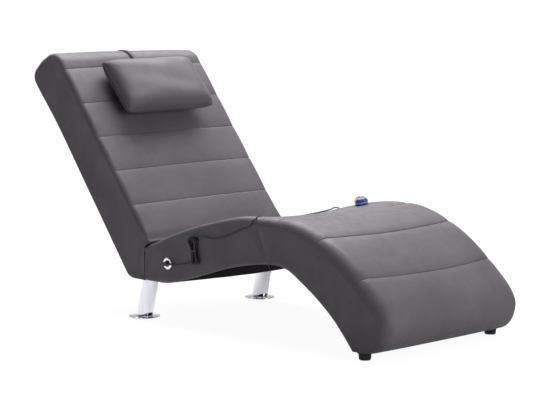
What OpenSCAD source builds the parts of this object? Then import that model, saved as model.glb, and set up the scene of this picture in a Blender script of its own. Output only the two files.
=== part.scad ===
// Padded massage lounge chair: a channelled backrest bolted to an arched seat,
// on two chromed tube legs and two low feet, with a head pillow on a strap,
// six vibration motors, a heating pad and a wired handset.
// X runs from the backrest towards the foot end, Z is up, and the origin is on the
// floor under the middle of the chair.

/* [Seat] */
// Length of the seat from the backrest joint to its nose
seat_run = 1000; // [940:5:1060]
// Width of the seat
seat_w = 604; // [560:4:660]
// Height of the seat's crest
crest_h = 370; // [350:1:400]
// Height of the arch under the crest
arch_h = 232; // [215:1:240]
// Height that the middle of the seat rises above its edges
seat_crown = 5; // [3:0.5:10]
// Radius of the padded edge at the crest
seat_edge_r = 32; // [26:1:38]
// Depth of the cross seams in the seat
seat_seam_depth = 6; // [3:1:8]
// Distance that the middle of each cross seam bows towards the foot end
seat_seam_bow = 27; // [0:1:32]
// Depth of the hollow in the middle of the seat
seat_dish = 18; // [10:1:22]
// Sag of the black cloth under the seat
dust_sag = 19; // [8:1:26]

/* [Backrest] */
// Slope of the backrest from the floor
back_angle = 52.5; // [48:0.5:58]
// Length of the backrest face from the crease to the top of the roll
back_len = 723; // [690:1:770]
// Width of the backrest
back_w = 604; // [560:4:660]
// Thickness of the backrest behind its edge line
back_t = 118; // [110:1:130]
// Extra thickness of the backrest at its foot
back_flare = 12; // [4:1:16]
// Height that the padded face stands above the edge line
back_face = 20; // [12:1:24]
// Extra rise of the face between its sides
back_crown = 6; // [3:0.5:10]
// Radius of the padded front edges
back_edge_r = 18; // [12:1:24]
// Spacing of the sewn channels
channel_pitch = 126.4; // [110:0.2:130]
// Depth of the sewn channels
channel_depth = 7; // [4:1:9]
// Radius of the roll at the front
roll_front_r = 70; // [60:1:76]
// Radius of the roll at the rear
roll_rear_r = 44; // [36:1:52]

/* [Upholstery] */
// Thickness of the padded side panels
side_t = 6; // [5:0.5:8]
// Thickness of the cover where it lies on wood
cover_t = 4; // [3:0.5:5]
// Thickness of the foam under the cover
foam_t = 38; // [34:1:42]
// Width of a webbing strap
web_w = 50; // [40:1:60]
// Thickness of a webbing strap
web_t = 2; // [1.5:0.1:2.5]
// Thickness of the cloth under the seat
dust_t = 1; // [0.6:0.1:1.5]

/* [Frame] */
// Thickness of the side rails
rail_t = 18; // [15:1:21]
// Thickness of the cross rails
cross_t = 22; // [18:1:25]
// Diameter of the joining bolts
bolt_d = 8; // [6:1:10]
// Distance from the narrower side to the middle of each joining bolt
bolt_inset = 152; // [132:10:182]
// Distance between the upper and lower joining bolts
bolt_rise = 34; // [30:1:38]

/* [Legs and feet] */
// Diameter of the leg tubes
leg_d = 50; // [44:1:54]
// Wall of the leg tubes
leg_wall = 1.5; // [1.2:0.1:2.5]
// Lean of the legs to the rear
leg_lean = 12.5; // [8:0.5:14]
// Spread of the legs to the sides
leg_spread = 2; // [0:0.5:4]
// Distance from the side of the backrest to the middle of each leg
leg_inset = 49; // [44:1:62]
// Diameter of the leg bases
leg_base_d = 100; // [90:1:110]
// Height of the dome on a leg base
leg_base_h = 7; // [6:0.5:9]
// Height of the front feet
foot_h = 19; // [16:1:24]
// Diameter of a front foot at its top
foot_d = 38; // [32:1:42]
// Distance from the side of the seat to the middle of each front foot
foot_inset = 19; // [17:1:37]

/* [Pillow] */
// Width of the pillow
pillow_w = 366; // [330:2:400]
// Height of the pillow
pillow_h = 192; // [170:2:210]
// Thickness of the pillow
pillow_t = 88; // [76:1:100]
// Place of the pillow's middle up the backrest
pillow_place = 522; // [500:1:540]
// Width of the strap
strap_w = 20; // [16:1:26]
// Thickness of the strap
strap_t = 1.6; // [1.2:0.1:2]
// Length of strap down the rear of the backrest
strap_tail = 150; // [120:1:180]

/* [Massage unit] */
// Diameter of a vibration motor
motor_d = 20; // [18:0.5:22]
// Length of a vibration motor's can
motor_len = 26; // [22:1:28]
// Diameter of a motor shaft
shaft_d = 3; // [2.5:0.5:3.5]
// Radius of an eccentric weight
weight_r = 9; // [7:0.5:9.5]
// Thickness of an eccentric weight
weight_t = 8; // [6:0.5:9]
// Wall of the motor pods
pod_wall = 2; // [1.6:0.1:2.5]
// Width of the heating pad across the back
heater_w = 320; // [260:10:360]
// Height of the heating pad
heater_h = 180; // [160:5:200]
// Thickness of the heating pad
heater_t = 2; // [1.5:0.1:2.5]

/* [Handset and lead] */
// Length of the handset
handset_len = 128; // [120:1:140]
// Width of the handset
handset_w = 42; // [40:1:48]
// Height of the handset
handset_h = 24; // [22:1:28]
// Wall of the handset's shells
handset_wall = 2; // [1.6:0.1:2.4]
// Diameter of a handset button
key_d = 10; // [8:0.5:11]
// Travel of a handset button
key_travel = 1.2; // [0.8:0.1:1.4]
// Outer diameter of the socket's ring
socket_ring_d = 36; // [32:1:40]
// Diameter of the lead
lead_d = 4; // [3.5:0.1:4.4]

/* [Hidden] */
leg_gauge = back_w - 2 * leg_inset;
foot_gauge = seat_w - 2 * foot_inset;
bolt_span = min(seat_w, back_w) - 2 * bolt_inset;

// Clearance between pieces that lie on each other
gap = 0.3;
// Overrun of every cut
over = 2;
// Running clearance of a shaft in its bearing
run_gap = 0.05;
// Facets of round pieces
$fn = 48;
// Small step for slopes of curves
tick = 0.5;
// Step over which the seat's slope is taken
slope_step = 9;

// Shape helpers

function flat(l) = [for (a = l) each a];
function last(l) = l[len(l) - 1];
function unit(v) = v / norm(v);
function held(p, i) = p[max(0, min(len(p) - 1, i))];
// Smooth curve through p[i] and p[i + 1] at the share t
function catmull(p, i, t) =
    let (a = held(p, i - 1), b = p[i], c = p[i + 1], d = held(p, i + 2))
    (2 * b + (c - a) * t + (2 * a - 5 * b + 4 * c - d) * t * t
     + (3 * b - a - 3 * c + d) * t * t * t) / 2;
// Curve through all of p, with n steps for each span
function spline(p, n) =
    [for (i = [0:len(p) - 2], k = [0:n - 1]) catmull(p, i, k / n), last(p)];
// Distance along a chain of points at each of its points
function run_of(p) =
    [for (i = 0, s = 0; i < len(p); s = s + norm(held(p, i + 1) - p[i]), i = i + 1) s];
// Point at the distance s along a chain p with the distances d
function along(p, d, s) =
    [lookup(s, [for (i = [0:len(p) - 1]) [d[i], p[i][0]]]),
     lookup(s, [for (i = [0:len(p) - 1]) [d[i], p[i][1]]])];
function left_of(v) = unit([-v[1], v[0]]);
// Curve from a to b that bends towards c
function bend(a, c, b, n) =
    [for (k = [0:n]) let (t = k / n) (1 - t) * (1 - t) * a + 2 * t * (1 - t) * c + t * t * b];
// Drop of a rounded edge of radius r at the distance d inside it
function edge_drop(r, d) = d >= r ? 0 : r - sqrt(max(0, r * r - (r - d) * (r - d)));
// Depth share of a sewn seam at the distance d from it, for a shoulder width w
function seam_share(d, w) = exp(-abs(d) / w);

// Solid through sections with equal numbers of points
module loft(sections) {
    n = len(sections[0]);
    m = len(sections);
    polyhedron(
        points = flat(sections),
        faces = concat(
            [[for (i = [n - 1:-1:0]) i]],
            [[for (i = [0:n - 1]) (m - 1) * n + i]],
            [for (j = [0:m - 2], i = [0:n - 1])
                let (a = j * n + i, b = j * n + (i + 1) % n)
                each [[a, b, a + n], [b, b + n, a + n]]]),
        convexity = 10);
}

// Thin sheet under a grid of points, both its sides split along the same diagonals
module sheet(grid, drop) {
    m = len(grid);
    n = len(grid[0]);
    function up(j, i) = j * n + i;
    function low(j, i) = (m + j) * n + i;
    function two(a, b, c, d) = [[a, b, d], [b, c, d]];
    polyhedron(
        points = concat(flat(grid), [for (p = flat(grid)) p - [0, 0, drop]]),
        faces = concat(
            [for (j = [0:m - 2], i = [0:n - 2]) each concat(
                two(up(j, i), up(j, i + 1), up(j + 1, i + 1), up(j + 1, i)),
                two(low(j, i), low(j + 1, i), low(j + 1, i + 1), low(j, i + 1)))],
            [for (i = [0:n - 2]) each concat(
                two(up(0, i + 1), up(0, i), low(0, i), low(0, i + 1)),
                two(up(m - 1, i), up(m - 1, i + 1), low(m - 1, i + 1), low(m - 1, i)))],
            [for (j = [0:m - 2]) each concat(
                two(up(j, 0), up(j + 1, 0), low(j + 1, 0), low(j, 0)),
                two(up(j + 1, n - 1), up(j, n - 1), low(j, n - 1), low(j + 1, n - 1)))]),
        convexity = 10);
}

// Prism of an outline in X and Z, from y0 to y1
module prism(outline, y0, y1) {
    translate([0, y1, 0]) rotate([90, 0, 0]) linear_extrude(y1 - y0) polygon(outline);
}

// Plain board between two corners
module board(a, b) {
    translate([min(a[0], b[0]), min(a[1], b[1]), min(a[2], b[2])])
        cube([abs(a[0] - b[0]), abs(a[1] - b[1]), abs(a[2] - b[2])]);
}

module both_sides() {
    children();
    mirror([0, 1, 0]) children();
}

// Tube of diameter d along a chain of points
function ring_frame(p, i) =
    let (t = unit(held(p, i + 1) - held(p, i - 1)),
         u = unit(cross(abs(t[2]) < 0.9 ? [0, 0, 1] : [0, 1, 0], t)))
    [u, cross(t, u)];
// Twist-free frames: each ring's first axis is the last one, made square to the run
function carried(p) =
    [for (i = 0, u = ring_frame(p, 0)[0]; i < len(p);
          i = i + 1,
          u = let (t = unit(held(p, i + 1) - held(p, i - 1))) unit(u - (u * t) * t))
        let (t = unit(held(p, i + 1) - held(p, i - 1))) [u, cross(t, u)]];
module tube(p, d, sides) {
    f = carried(p);
    loft([for (i = [0:len(p) - 1])
        [for (k = [0:sides - 1])
            p[i] + d / 2 * (f[i][0] * cos(360 * k / sides) - f[i][1] * sin(360 * k / sides))]]);
}
// Length of a chain
function length_of(p) = last(run_of(p));
// Points at even steps along a smooth curve through p, about step apart
function even(p, step) =
    let (q = spline(p, 8), d = run_of(q), n = round(last(d) / step))
    [for (k = [0:n]) let (s = last(d) * k / n)
        [for (c = [0:2]) lookup(s, [for (i = [0:len(q) - 1]) [d[i], q[i][c]]])]];

// Seat profile, from the joint plane, as shares of the seat's run and height
seat_top_shares = [[0, 0.606], [0.06, 0.663], [0.175, 0.783], [0.29, 0.883],
                   [0.387, 0.948], [0.47, 0.984], [0.544, 0.996], [0.62, 0.983],
                   [0.7, 0.925], [0.78, 0.818], [0.86, 0.668], [0.925, 0.509],
                   [0.97, 0.375], [0.991, 0.25], [0.98, 0.125], [0.955, 0.045],
                   [0.928, 0.01], [0.9, 0]];
seat_under_shares = [[0, 0.498], [0.06, 0.5], [0.12, 0.531], [0.222, 0.653],
                     [0.367, 0.864], [0.47, 0.962], [0.545, 1], [0.6, 0.962],
                     [0.65, 0.836], [0.721, 0.62], [0.79, 0.357], [0.858, 0]];
// Places of the cross seams, as shares of the seat's top curve
seat_seam_shares = [0.462, 0.602, 0.751];
// Edge radius along the seat's top curve, as shares of the crest's radius
seat_edge_shares = [[0, 0.4], [0.29, 0.5], [0.41, 0.75], [0.505, 1], [0.757, 1.2], [0.9, 1.2],
                    [1, 0.6]];
// Hollow and crown across the seat, along its top curve
seat_dish_shares = [[0, 0], [0.097, 0.35], [0.214, 0.85], [0.291, 1], [0.335, 1], [0.376, 0.67],
                    [0.433, 0.28], [0.466, 0], [1, 0]];
seat_crown_shares = [[0, 0], [0.39, 0], [0.485, 0.6], [0.602, 1], [1, 1]];
// Foam thickness along the seat's top curve, as shares of the foam's thickness
foam_shares = [[0, 1], [0.75, 1], [0.9, 0.6], [1, 0.3]];
// Radius of the seat's lower edges
under_r = 10;
// Shoulder width of the seams
seam_w = 14;

seat_top = spline([for (q = seat_top_shares)
    [q[0] * seat_run, foot_h + q[1] * (crest_h - foot_h)]], 8);
seat_top_d = run_of(seat_top);
seat_top_len = last(seat_top_d);
seat_under = spline([for (q = seat_under_shares)
    [q[0] * seat_run, foot_h + q[1] * (arch_h - foot_h)]], 5);
base_h = seat_under[0][1];
crease_h = seat_top[0][1];
seat_seams = [for (q = seat_seam_shares) q * seat_top_len];

function seat_at(s) = along(seat_top, seat_top_d, s);
// Outward direction on the top curve: upright at the crease, level under the nose
function seat_out(s) =
    let (n = left_of(seat_at(s + slope_step) - seat_at(s - slope_step)),
         b = min(1, s / seat_edge_r))
    unit([n[0] * b, max(0, n[1])]);
function seat_edge(s) = seat_edge_r * lookup(s / seat_top_len, seat_edge_shares);
function seat_seam(s) = max([for (q = seat_seams) seam_share(s - q, seam_w)]);
function across(y, w) = 1 - pow(2 * y / w, 2);
function dish_at(s) = seat_dish * lookup(s / seat_top_len, seat_dish_shares);
// Point of the seat's top skin at the distance s and the width y
function seat_skin(s, y) =
    let (r = seat_edge(s), drop = edge_drop(r, seat_w / 2 - abs(y)),
         q = s + seat_seam_bow * across(y, seat_w) * sin(180 * s / seat_top_len),
         lift = (seat_crown * lookup(s / seat_top_len, seat_crown_shares) - dish_at(s))
                * across(y, seat_w) - drop
                - seat_seam_depth * seat_seam(s) * (1 - drop / r),
         p = seat_at(q) + lift * seat_out(q))
    [p[0], y, p[1]];
function under_out(i) = -left_of(held(seat_under, i + 1) - held(seat_under, i - 1));
function under_skin(i, y) =
    let (drop = edge_drop(under_r, seat_w / 2 - abs(y)),
         ends = i == 0 || i == len(seat_under) - 1,
         p = seat_under[i] - drop * (ends ? [0, -1] : under_out(i)))
    [p[0], y, p[1]];
// Distances of the rings along the top: closer at the seams
seam_step_shares = [-1.6, -0.6, 0, 0.6, 1.6];
seat_marks = concat(
    [for (k = [0:11]) seat_seams[0] * 0.96 * k / 12],
    [for (i = [0:2]) let (a = seat_seams[i] + last(seam_step_shares) * seam_w,
                          b = held(seat_seams, i + 1) + seam_step_shares[0] * seam_w)
        each concat([for (d = seam_step_shares) seat_seams[i] + d * seam_w],
                    i < 2 ? [for (k = [1:3]) a + (b - a) * k / 4] : [])],
    [for (k = [1:9]) let (a = last(seat_seams) + last(seam_step_shares) * seam_w)
        a + (seat_top_len - a) * k / 9]);
// Widths of the sections: closer at the rounded edges
wide_r = seat_edge_r * 1.2;
function widths(w, r) = let (e = [for (t = [0:22.5:67.5]) w / 2 - r * (1 - cos(t))],
                             m = [for (k = [0:6]) (w / 2 - r) * (1 - k / 3)])
    concat(e, m, [for (k = [3:-1:0]) -e[k]]);
function seat_section(y) = concat(
    [for (s = seat_marks) seat_skin(s, y)],
    [for (i = [len(seat_under) - 1:-3:0]) under_skin(i, y)],
    [under_skin(0, y)]);

// Space inside the seat cover: its inset keeps the wall at the rounded corner and at the seams
function seat_inset(s) = cover_t + edge_drop(seat_edge(s), side_t) + dish_at(s) + seat_seam_depth * 0.6;
function foam_at(s) = foam_t * lookup(s / seat_top_len, foam_shares);
function seat_in(s, d) = seat_at(s) - (seat_inset(s) + d) * seat_out(s);
inner_end = seat_top_len * 0.95;
inner_marks = [for (k = [0:72]) gap * 4 + (inner_end - gap * 4) * k / 72];
foam_start = cover_t + foam_t;
foam_marks = [for (s = inner_marks) if (s > foam_start) s];
function under_at(x) = lookup(x, [for (p = seat_under) p]);
function under_inset(d) = [for (i = [len(seat_under) - 1:-3:1])
    let (p = seat_under[i] - d * under_out(i))
    if (p[0] > cover_t * 3 && p[0] < last(seat_under)[0] - cover_t) p];
// Depth of the webbing and of the rails under the cover's inner side
function web_depth(s) = foam_at(s) + 1.5 * gap;
function rail_depth(s) = web_depth(s) + web_t + 1.5 * gap;

joint_gap = gap / 2;
// Seat cavity outline, a wall inside the cover
seat_cavity = concat(
    [[joint_gap + cover_t, seat_in(0, 0)[1]]],
    [for (s = inner_marks) if (seat_in(s, 0)[0] > joint_gap + cover_t + tick) seat_in(s, 0)],
    [[last(seat_top)[0], foot_h + cover_t], [last(seat_under)[0], foot_h + cover_t]],
    under_inset(cover_t),
    [[joint_gap + cover_t, base_h + cover_t]]);
inner_w = seat_w - 2 * side_t;

module seat_cover() {
    lip = seat_w * 0.08;
    color("dimgray") place() difference() {
        intersection() {
            loft([for (y = concat([seat_w / 2 + over], widths(seat_w, wide_r), [-seat_w / 2 - over]))
                seat_section(y)]);
            board([-over, -seat_w / 2, 0], [seat_run, seat_w / 2, crest_h + foam_t]);
        }
        prism(seat_cavity, -inner_w / 2, inner_w / 2);
        board([seat_run / 10, -seat_w / 2 + lip, over],
              [last(seat_under)[0] - lip, seat_w / 2 - lip, arch_h + cover_t]);
        joining_bores();
        loom_bores();
        socket_bore();
        foot_bores();
    }
}

module seat_foam() {
    color("khaki") place() difference() {
        prism(concat(
            [for (s = foam_marks) seat_in(s, gap)],
            [for (k = [len(foam_marks) - 1:-1:0]) seat_in(foam_marks[k], foam_at(foam_marks[k]))]),
            -inner_w / 2 + gap, inner_w / 2 - gap);
        for (m = seat_motors) on_seat(m[0], m[1]) pod_room();
    }
}

// Rails of the seat
rail_y = inner_w / 2 - gap;
seat_rail = concat(
    [[joint_gap + cover_t + gap, seat_in(foam_start, rail_depth(0))[1]]],
    [for (s = foam_marks) seat_in(s, rail_depth(s))],
    [[last(seat_top)[0] - cover_t * 0.75, foot_h + cover_t + gap],
     [last(seat_under)[0], foot_h + cover_t + gap]],
    under_inset(cover_t + gap),
    [[joint_gap + cover_t + gap, base_h + cover_t + gap]]);

module seat_rail_solid(y0, y1) {
    prism(seat_rail, y0, y1);
}
module seat_near_rail() {
    color("burlywood") place() difference() {
        seat_rail_solid(-rail_y, -rail_y + rail_t);
        socket_bore();
        foot_pilots();
    }
}
module seat_far_rail() {
    color("burlywood") place() difference() {
        seat_rail_solid(rail_y - rail_t, rail_y);
        foot_pilots();
    }
}

// Places of the seat's cross rails along its top curve, and their heights
cross_y = rail_y - rail_t;
seat_cross_shares = [0.26, 0.5, 0.72];
rail_rear = joint_gap + cover_t + gap;
module seat_cross_rails() {
    color("tan") place() difference() {
        union() {
            board([rail_rear, -cross_y, base_h + cover_t + gap],
                  [rail_rear + cross_t, cross_y, seat_in(foam_start, rail_depth(0))[1]]);
            for (q = seat_cross_shares) {
                s = q * seat_top_len;
                p = seat_in(s, rail_depth(s));
                x0 = p[0] - cross_t / 2;
                x1 = p[0] + cross_t / 2;
                low = max(under_at(x0), under_at(x1)) + cover_t + gap;
                high = min(seat_in(s - cross_t, rail_depth(s))[1], seat_in(s + cross_t, rail_depth(s))[1]);
                board([x0, -cross_y, low + cover_t], [x1, cross_y, high]);
            }
            front = last(seat_top)[0] - cover_t;
            board([front - cross_t, -cross_y, foot_h + cover_t + gap],
                  [front, cross_y, foot_h + cover_t + gap + foam_t]);
        }
        joining_bores();
        loom_bores();
    }
}

// Webbing straps under the seat foam, one under each motor
seat_motor_shares = [0.4, 0.685];
seat_web_shares = [0.1, 0.19, 0.3, 0.4, 0.56, 0.62, 0.685, 0.78];
module seat_webbing() {
    color("saddlebrown") place() for (q = seat_web_shares) {
        line = [for (k = [-3:3]) q * seat_top_len + web_w * k / 6];
        prism(concat([for (s = line) seat_in(s, web_depth(s))],
                     [for (k = [6:-1:0]) seat_in(line[k], web_depth(line[k]) + web_t)]),
              -rail_y, rail_y);
    }
}

// Cloth under the seat, sagging between its edges
module seat_dust_cover() {
    line = [for (i = [len(seat_under) - 4:-3:5]) seat_under[i]];
    n = len(line) - 1;
    half = seat_w / 2 - under_r;
    function sheet_at(k, y) =
        let (hang = dust_sag * sin(180 * k / n) * (1 - pow(y / half, 2)))
        [line[k][0], y, line[k][1] - 2 * gap - hang];
    color("black") place()
        sheet([for (j = [-3:3]) [for (k = [0:n]) sheet_at(k, half * j / 3)]], dust_t);
}

// Backrest, in slab measures: s up the slope from the crease, v out of the face
fold_rise = 13;
back_foot = [0, crease_h + fold_rise];
function slab(s, v) = back_foot + s * [-cos(back_angle), sin(back_angle)]
                      + v * [sin(back_angle), cos(back_angle)];
channels = [for (k = [0:4]) back_len - 1.486 * roll_front_r - k * channel_pitch];
// The rear side flares towards the foot, below the roll
back_straight = back_len - roll_rear_r;
function rear_v(s) = -back_t - back_flare * max(0, 1 - s / back_straight);
// Distance up the slope at which a line c inside the rear side has the height z
function rear_s(z, c) = (z - back_foot[1] + (back_t + back_flare - c) * cos(back_angle))
                        / (sin(back_angle) + back_flare * cos(back_angle) / back_straight);
function rear_x(z, c) = let (s = rear_s(z, c)) slab(s, rear_v(s) + c)[0];
back_corner = 22;
back_low_s = rear_s(base_h, 0);
back_heel = slab(back_low_s, rear_v(back_low_s));
rear_edge_share = 0.5;
function channel_share(s) = max([for (q = channels) seam_share(s - q, seam_w)]);
// Each station: point, edge radius, crown share, channel share
function back_side(s, v, r, c, d) = [slab(s, v), r, c, d];
heel_end = slab(back_low_s + back_corner, rear_v(back_low_s + back_corner));
back_stations = concat(
    [for (k = [0:3])
        let (s = back_low_s + back_corner + (back_straight - back_low_s - back_corner) * k / 4)
        back_side(s, rear_v(s), rear_edge_share, 0.3, 0)],
    [for (t = [0:22.5:90]) back_side(back_len - roll_rear_r * (1 - sin(t)),
        roll_rear_r * (1 - cos(t)) - back_t, rear_edge_share + t / 180, 0.3 + t / 130, 0)],
    [for (t = [90:-18:18]) back_side(back_len - roll_front_r * (1 - sin(t)),
        back_face - roll_front_r * (1 - cos(t)), 1, 1, 0)],
    [for (k = [0:4], d = [1.3, 0.45, 0, -0.45, -1.3, -channel_pitch / seam_w / 2])
        let (s = channels[k] + d * seam_w) if (s < back_len - roll_front_r)
        back_side(s, back_face * min(1, s / back_corner / 3), 1, 1, channel_share(s))],
    [back_side(back_corner, back_face / 3, 0.6, 0.4, 0)],
    [back_side(0, 0, 0.3, 0, 0)],
    [[[0, back_foot[1] * 0.5 + base_h * 0.5], 0.3, 0, 0]],
    [[[0, base_h], 0.3, 0, 0]],
    [for (p = bend(back_heel + [back_corner, 0], back_heel, heel_end, 4))
        if (p[1] < heel_end[1] - tick) [p, rear_edge_share, 0, 0]]);
back_n = len(back_stations);
function miter(p, q, r) = let (a = left_of(q - p), b = left_of(r - q)) (a + b) / (1 + a * b);
back_out = [for (i = [0:back_n - 1])
    miter(back_stations[(i + back_n - 1) % back_n][0], back_stations[i][0],
          back_stations[(i + 1) % back_n][0])];
function back_point(i, d) = back_stations[i][0] + d * back_out[i];
function back_section(y) = [for (i = [0:back_n - 1])
    let (q = back_stations[i], r = back_edge_r * q[1],
         drop = edge_drop(r, back_w / 2 - abs(y)),
         p = back_point(i, back_crown * q[2] * across(y, back_w) - drop
                           - channel_depth * q[3] * (1 - drop / r)),
         x = min(p[0], -joint_gap))
    [x, y, p[1]]];
// Inset of the space inside the backrest cover,
// with a layer of wadding under the channels of the face
wadding_t = channel_depth * 0.8;
function back_wall(i) = cover_t + edge_drop(back_edge_r * back_stations[i][1], side_t)
    + wadding_t * max(0, 2 * back_stations[i][1] - 1);
back_cavity = [for (i = [0:back_n - 1]) let (p = back_point(i, -back_wall(i)))
    [min(p[0], -joint_gap - cover_t), max(p[1], base_h + cover_t)]];
face_in = back_face - cover_t - edge_drop(back_edge_r, side_t) - wadding_t;
back_inner_w = back_w - 2 * side_t;

// Line of the strap over the roll, at the distance d from its inner side
strap_split_s = back_len - roll_front_r;
strap_face_v = back_face + back_crown + gap;
strap_step = 15;
strap_front_r = (roll_front_r + back_crown + gap) / cos(strap_step / 2);
strap_rear_r = (roll_rear_r + back_crown + gap) / cos(strap_step / 2);
strap_end_s = back_straight - strap_tail;
function over_roll(d) = concat(
    [for (s = [strap_split_s - strap_w, strap_split_s]) slab(s, strap_face_v + d)],
    [for (t = [strap_step:strap_step:90]) slab(back_len - roll_front_r + (strap_front_r + d) * sin(t),
                                               back_face - roll_front_r + (strap_front_r + d) * cos(t))],
    [for (t = [90:-strap_step:0]) slab(back_len - roll_rear_r + (strap_rear_r + d) * sin(t),
                                       roll_rear_r - back_t - (strap_rear_r + d) * cos(t))],
    [slab(strap_end_s, rear_v(strap_end_s) - back_crown * 0.4 - gap - d)]);

// The chair's middle is the middle of its own box
rear_reach = min([for (q = concat(back_section(0), over_roll(strap_t))) q[0]]);
nose_reach = max([for (s = seat_marks) seat_skin(s, 0)[0]]);
shift = -(rear_reach + nose_reach) / 2;
module place() {
    translate([shift, 0, 0]) children();
}

module backrest_cover() {
    color("gray") place() difference() {
        loft([for (y = widths(back_w, back_edge_r)) back_section(y)]);
        prism(back_cavity, -back_inner_w / 2, back_inner_w / 2);
        joining_bores();
        leg_bores();
        loom_bores();
    }
}

// Turns what follows so that X is out of the backrest's face and Z up its slope
module on_back(s, y, v) {
    translate([slab(s, v)[0], y, slab(s, v)[1]]) rotate([0, back_angle - 90, 0]) children();
}

back_rail_v = face_in - foam_t - web_t - 2 * gap;
web_face = back_rail_v + web_t + 2 * gap;
back_rail_top = back_len - roll_front_r - foam_t * 0.5;
rear_wall = cover_t + edge_drop(back_edge_r * rear_edge_share, side_t) + gap;
function rear_in(s) = rear_v(s) + rear_wall;
back_rail_y = back_inner_w / 2 - gap;
base_in = base_h + rear_wall;
rail_front = -joint_gap - cover_t - gap;
function slab_x(v, z) = let (s = (z - back_foot[1] - v * cos(back_angle)) / sin(back_angle)) slab(s, v)[0];
shoulder_h = back_foot[1] - foam_t * 0.4;
back_rail = [
    [rail_front, base_in], [rear_x(base_in, rear_wall) + back_corner, base_in],
    [rear_x(base_in + back_corner / 2, rear_wall) + back_corner / 4, base_in + back_corner / 2],
    [rear_x(base_in + back_corner, rear_wall), base_in + back_corner],
    slab(back_rail_top, rear_in(back_rail_top)), slab(back_rail_top, back_rail_v),
    [slab_x(back_rail_v, shoulder_h), shoulder_h], [rail_front, shoulder_h]];

module backrest_near_rail() {
    color("burlywood") place() prism(back_rail, -back_rail_y, -back_rail_y + rail_t);
}
module backrest_far_rail() {
    color("burlywood") place() prism(back_rail, back_rail_y - rail_t, back_rail_y);
}

back_cross_y = back_rail_y - rail_t;
back_cross_shares = [0.3, 0.6];
module backrest_cross_rails() {
    color("tan") place() difference() {
        union() {
            board([rail_front - cross_t, -back_cross_y, base_in + plate_t],
                  [rail_front, back_cross_y, shoulder_h]);
            for (s = concat(back_cross_shares * back_len, [back_rail_top - cross_t])) on_back(s, 0, 0)
                board([rear_in(s + cross_t), -back_cross_y, 0], [back_rail_v, back_cross_y, cross_t]);
        }
        joining_bores();
        loom_bores();
        both_sides() translate([leg_top_x, leg_gauge / 2, base_h])
            cylinder(d = stud_d + bolt_room, h = block_h * 2);
    }
}

// The foam runs up the face, over the top rail and down to the rear of the roll
module backrest_foam() {
    top = back_rail_top + gap;
    outer = [for (i = [4:back_n - 1]) let (p = back_point(i, -back_wall(i) - gap))
        if (back_stations[i][0][1] > slab(back_corner - tick, back_face / 3)[1]) p];
    color("khaki") place() difference() {
        prism(concat([slab(top, rear_in(top))], outer,
                     [slab(back_corner, web_face), slab(top, web_face)]),
              -back_inner_w / 2 + gap, back_inner_w / 2 - gap);
        for (m = back_motors) on_back(m[0], m[1], web_face) pod_room();
        on_back(heater_place - heater_h / 2 - gap, 0, face_in - gap)
            board([-heater_t - gap, -heater_w / 2 - gap, 0], [over, heater_w / 2 + gap, heater_h + 2 * gap]);
    }
}

back_web_shares = [0.14, 0.24, 0.42, 0.5, 0.7, 0.8];
module backrest_webbing() {
    color("saddlebrown") place() for (q = back_web_shares)
        on_back(q * back_len - web_w / 2, 0, 0)
            board([back_rail_v + gap, -back_rail_y, 0], [back_rail_v + gap + web_t, back_rail_y, web_w]);
}

heater_place = back_len * 0.275;
module heating_pad() {
    color("white") place() on_back(heater_place - heater_h / 2, 0, face_in - gap)
        board([-heater_t, -heater_w / 2, 0], [-gap, heater_w / 2, heater_h]);
}

// Bolts that join the two frames through the facing cross rails
bolt_mid_h = (base_h + shoulder_h) / 2;
bolt_reach = cross_t + cover_t + gap + joint_gap;
module bolt_places() {
    for (y = [-bolt_span / 2, bolt_span / 2], z = [-bolt_rise / 2, bolt_rise / 2])
        translate([0, y, bolt_mid_h + z]) rotate([0, 90, 0]) children();
}
bolt_room = 0.5;
module joining_bores() {
    bolt_places() cylinder(d = bolt_d + 2 * bolt_room, h = 2 * (bolt_reach + over), center = true);
}
bolt_head_h = bolt_d * 0.65;
washer_t = 1.6;
module joining_bolts() {
    color("silver") place() bolt_places() {
        translate([0, 0, -bolt_reach - washer_t - gap])
            cylinder(d = bolt_d, h = 2 * bolt_reach + 2 * washer_t + bolt_d + gap);
        translate([0, 0, -bolt_reach - washer_t - gap - bolt_head_h])
            cylinder(d = bolt_d * 1.8, h = bolt_head_h, $fn = 6);
        translate([0, 0, -bolt_reach - washer_t - gap]) cylinder(d = bolt_d * 2.4, h = washer_t);
    }
}
module joining_nuts() {
    color("silver") place() bolt_places() difference() {
        union() {
            translate([0, 0, bolt_reach + gap]) cylinder(d = bolt_d * 2.4, h = washer_t);
            translate([0, 0, bolt_reach + gap + washer_t])
                cylinder(d = bolt_d * 1.8, h = bolt_d * 0.8, $fn = 6);
        }
        translate([0, 0, bolt_reach]) cylinder(d = bolt_d + 2 * run_gap, h = bolt_d * 2);
    }
}

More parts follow.
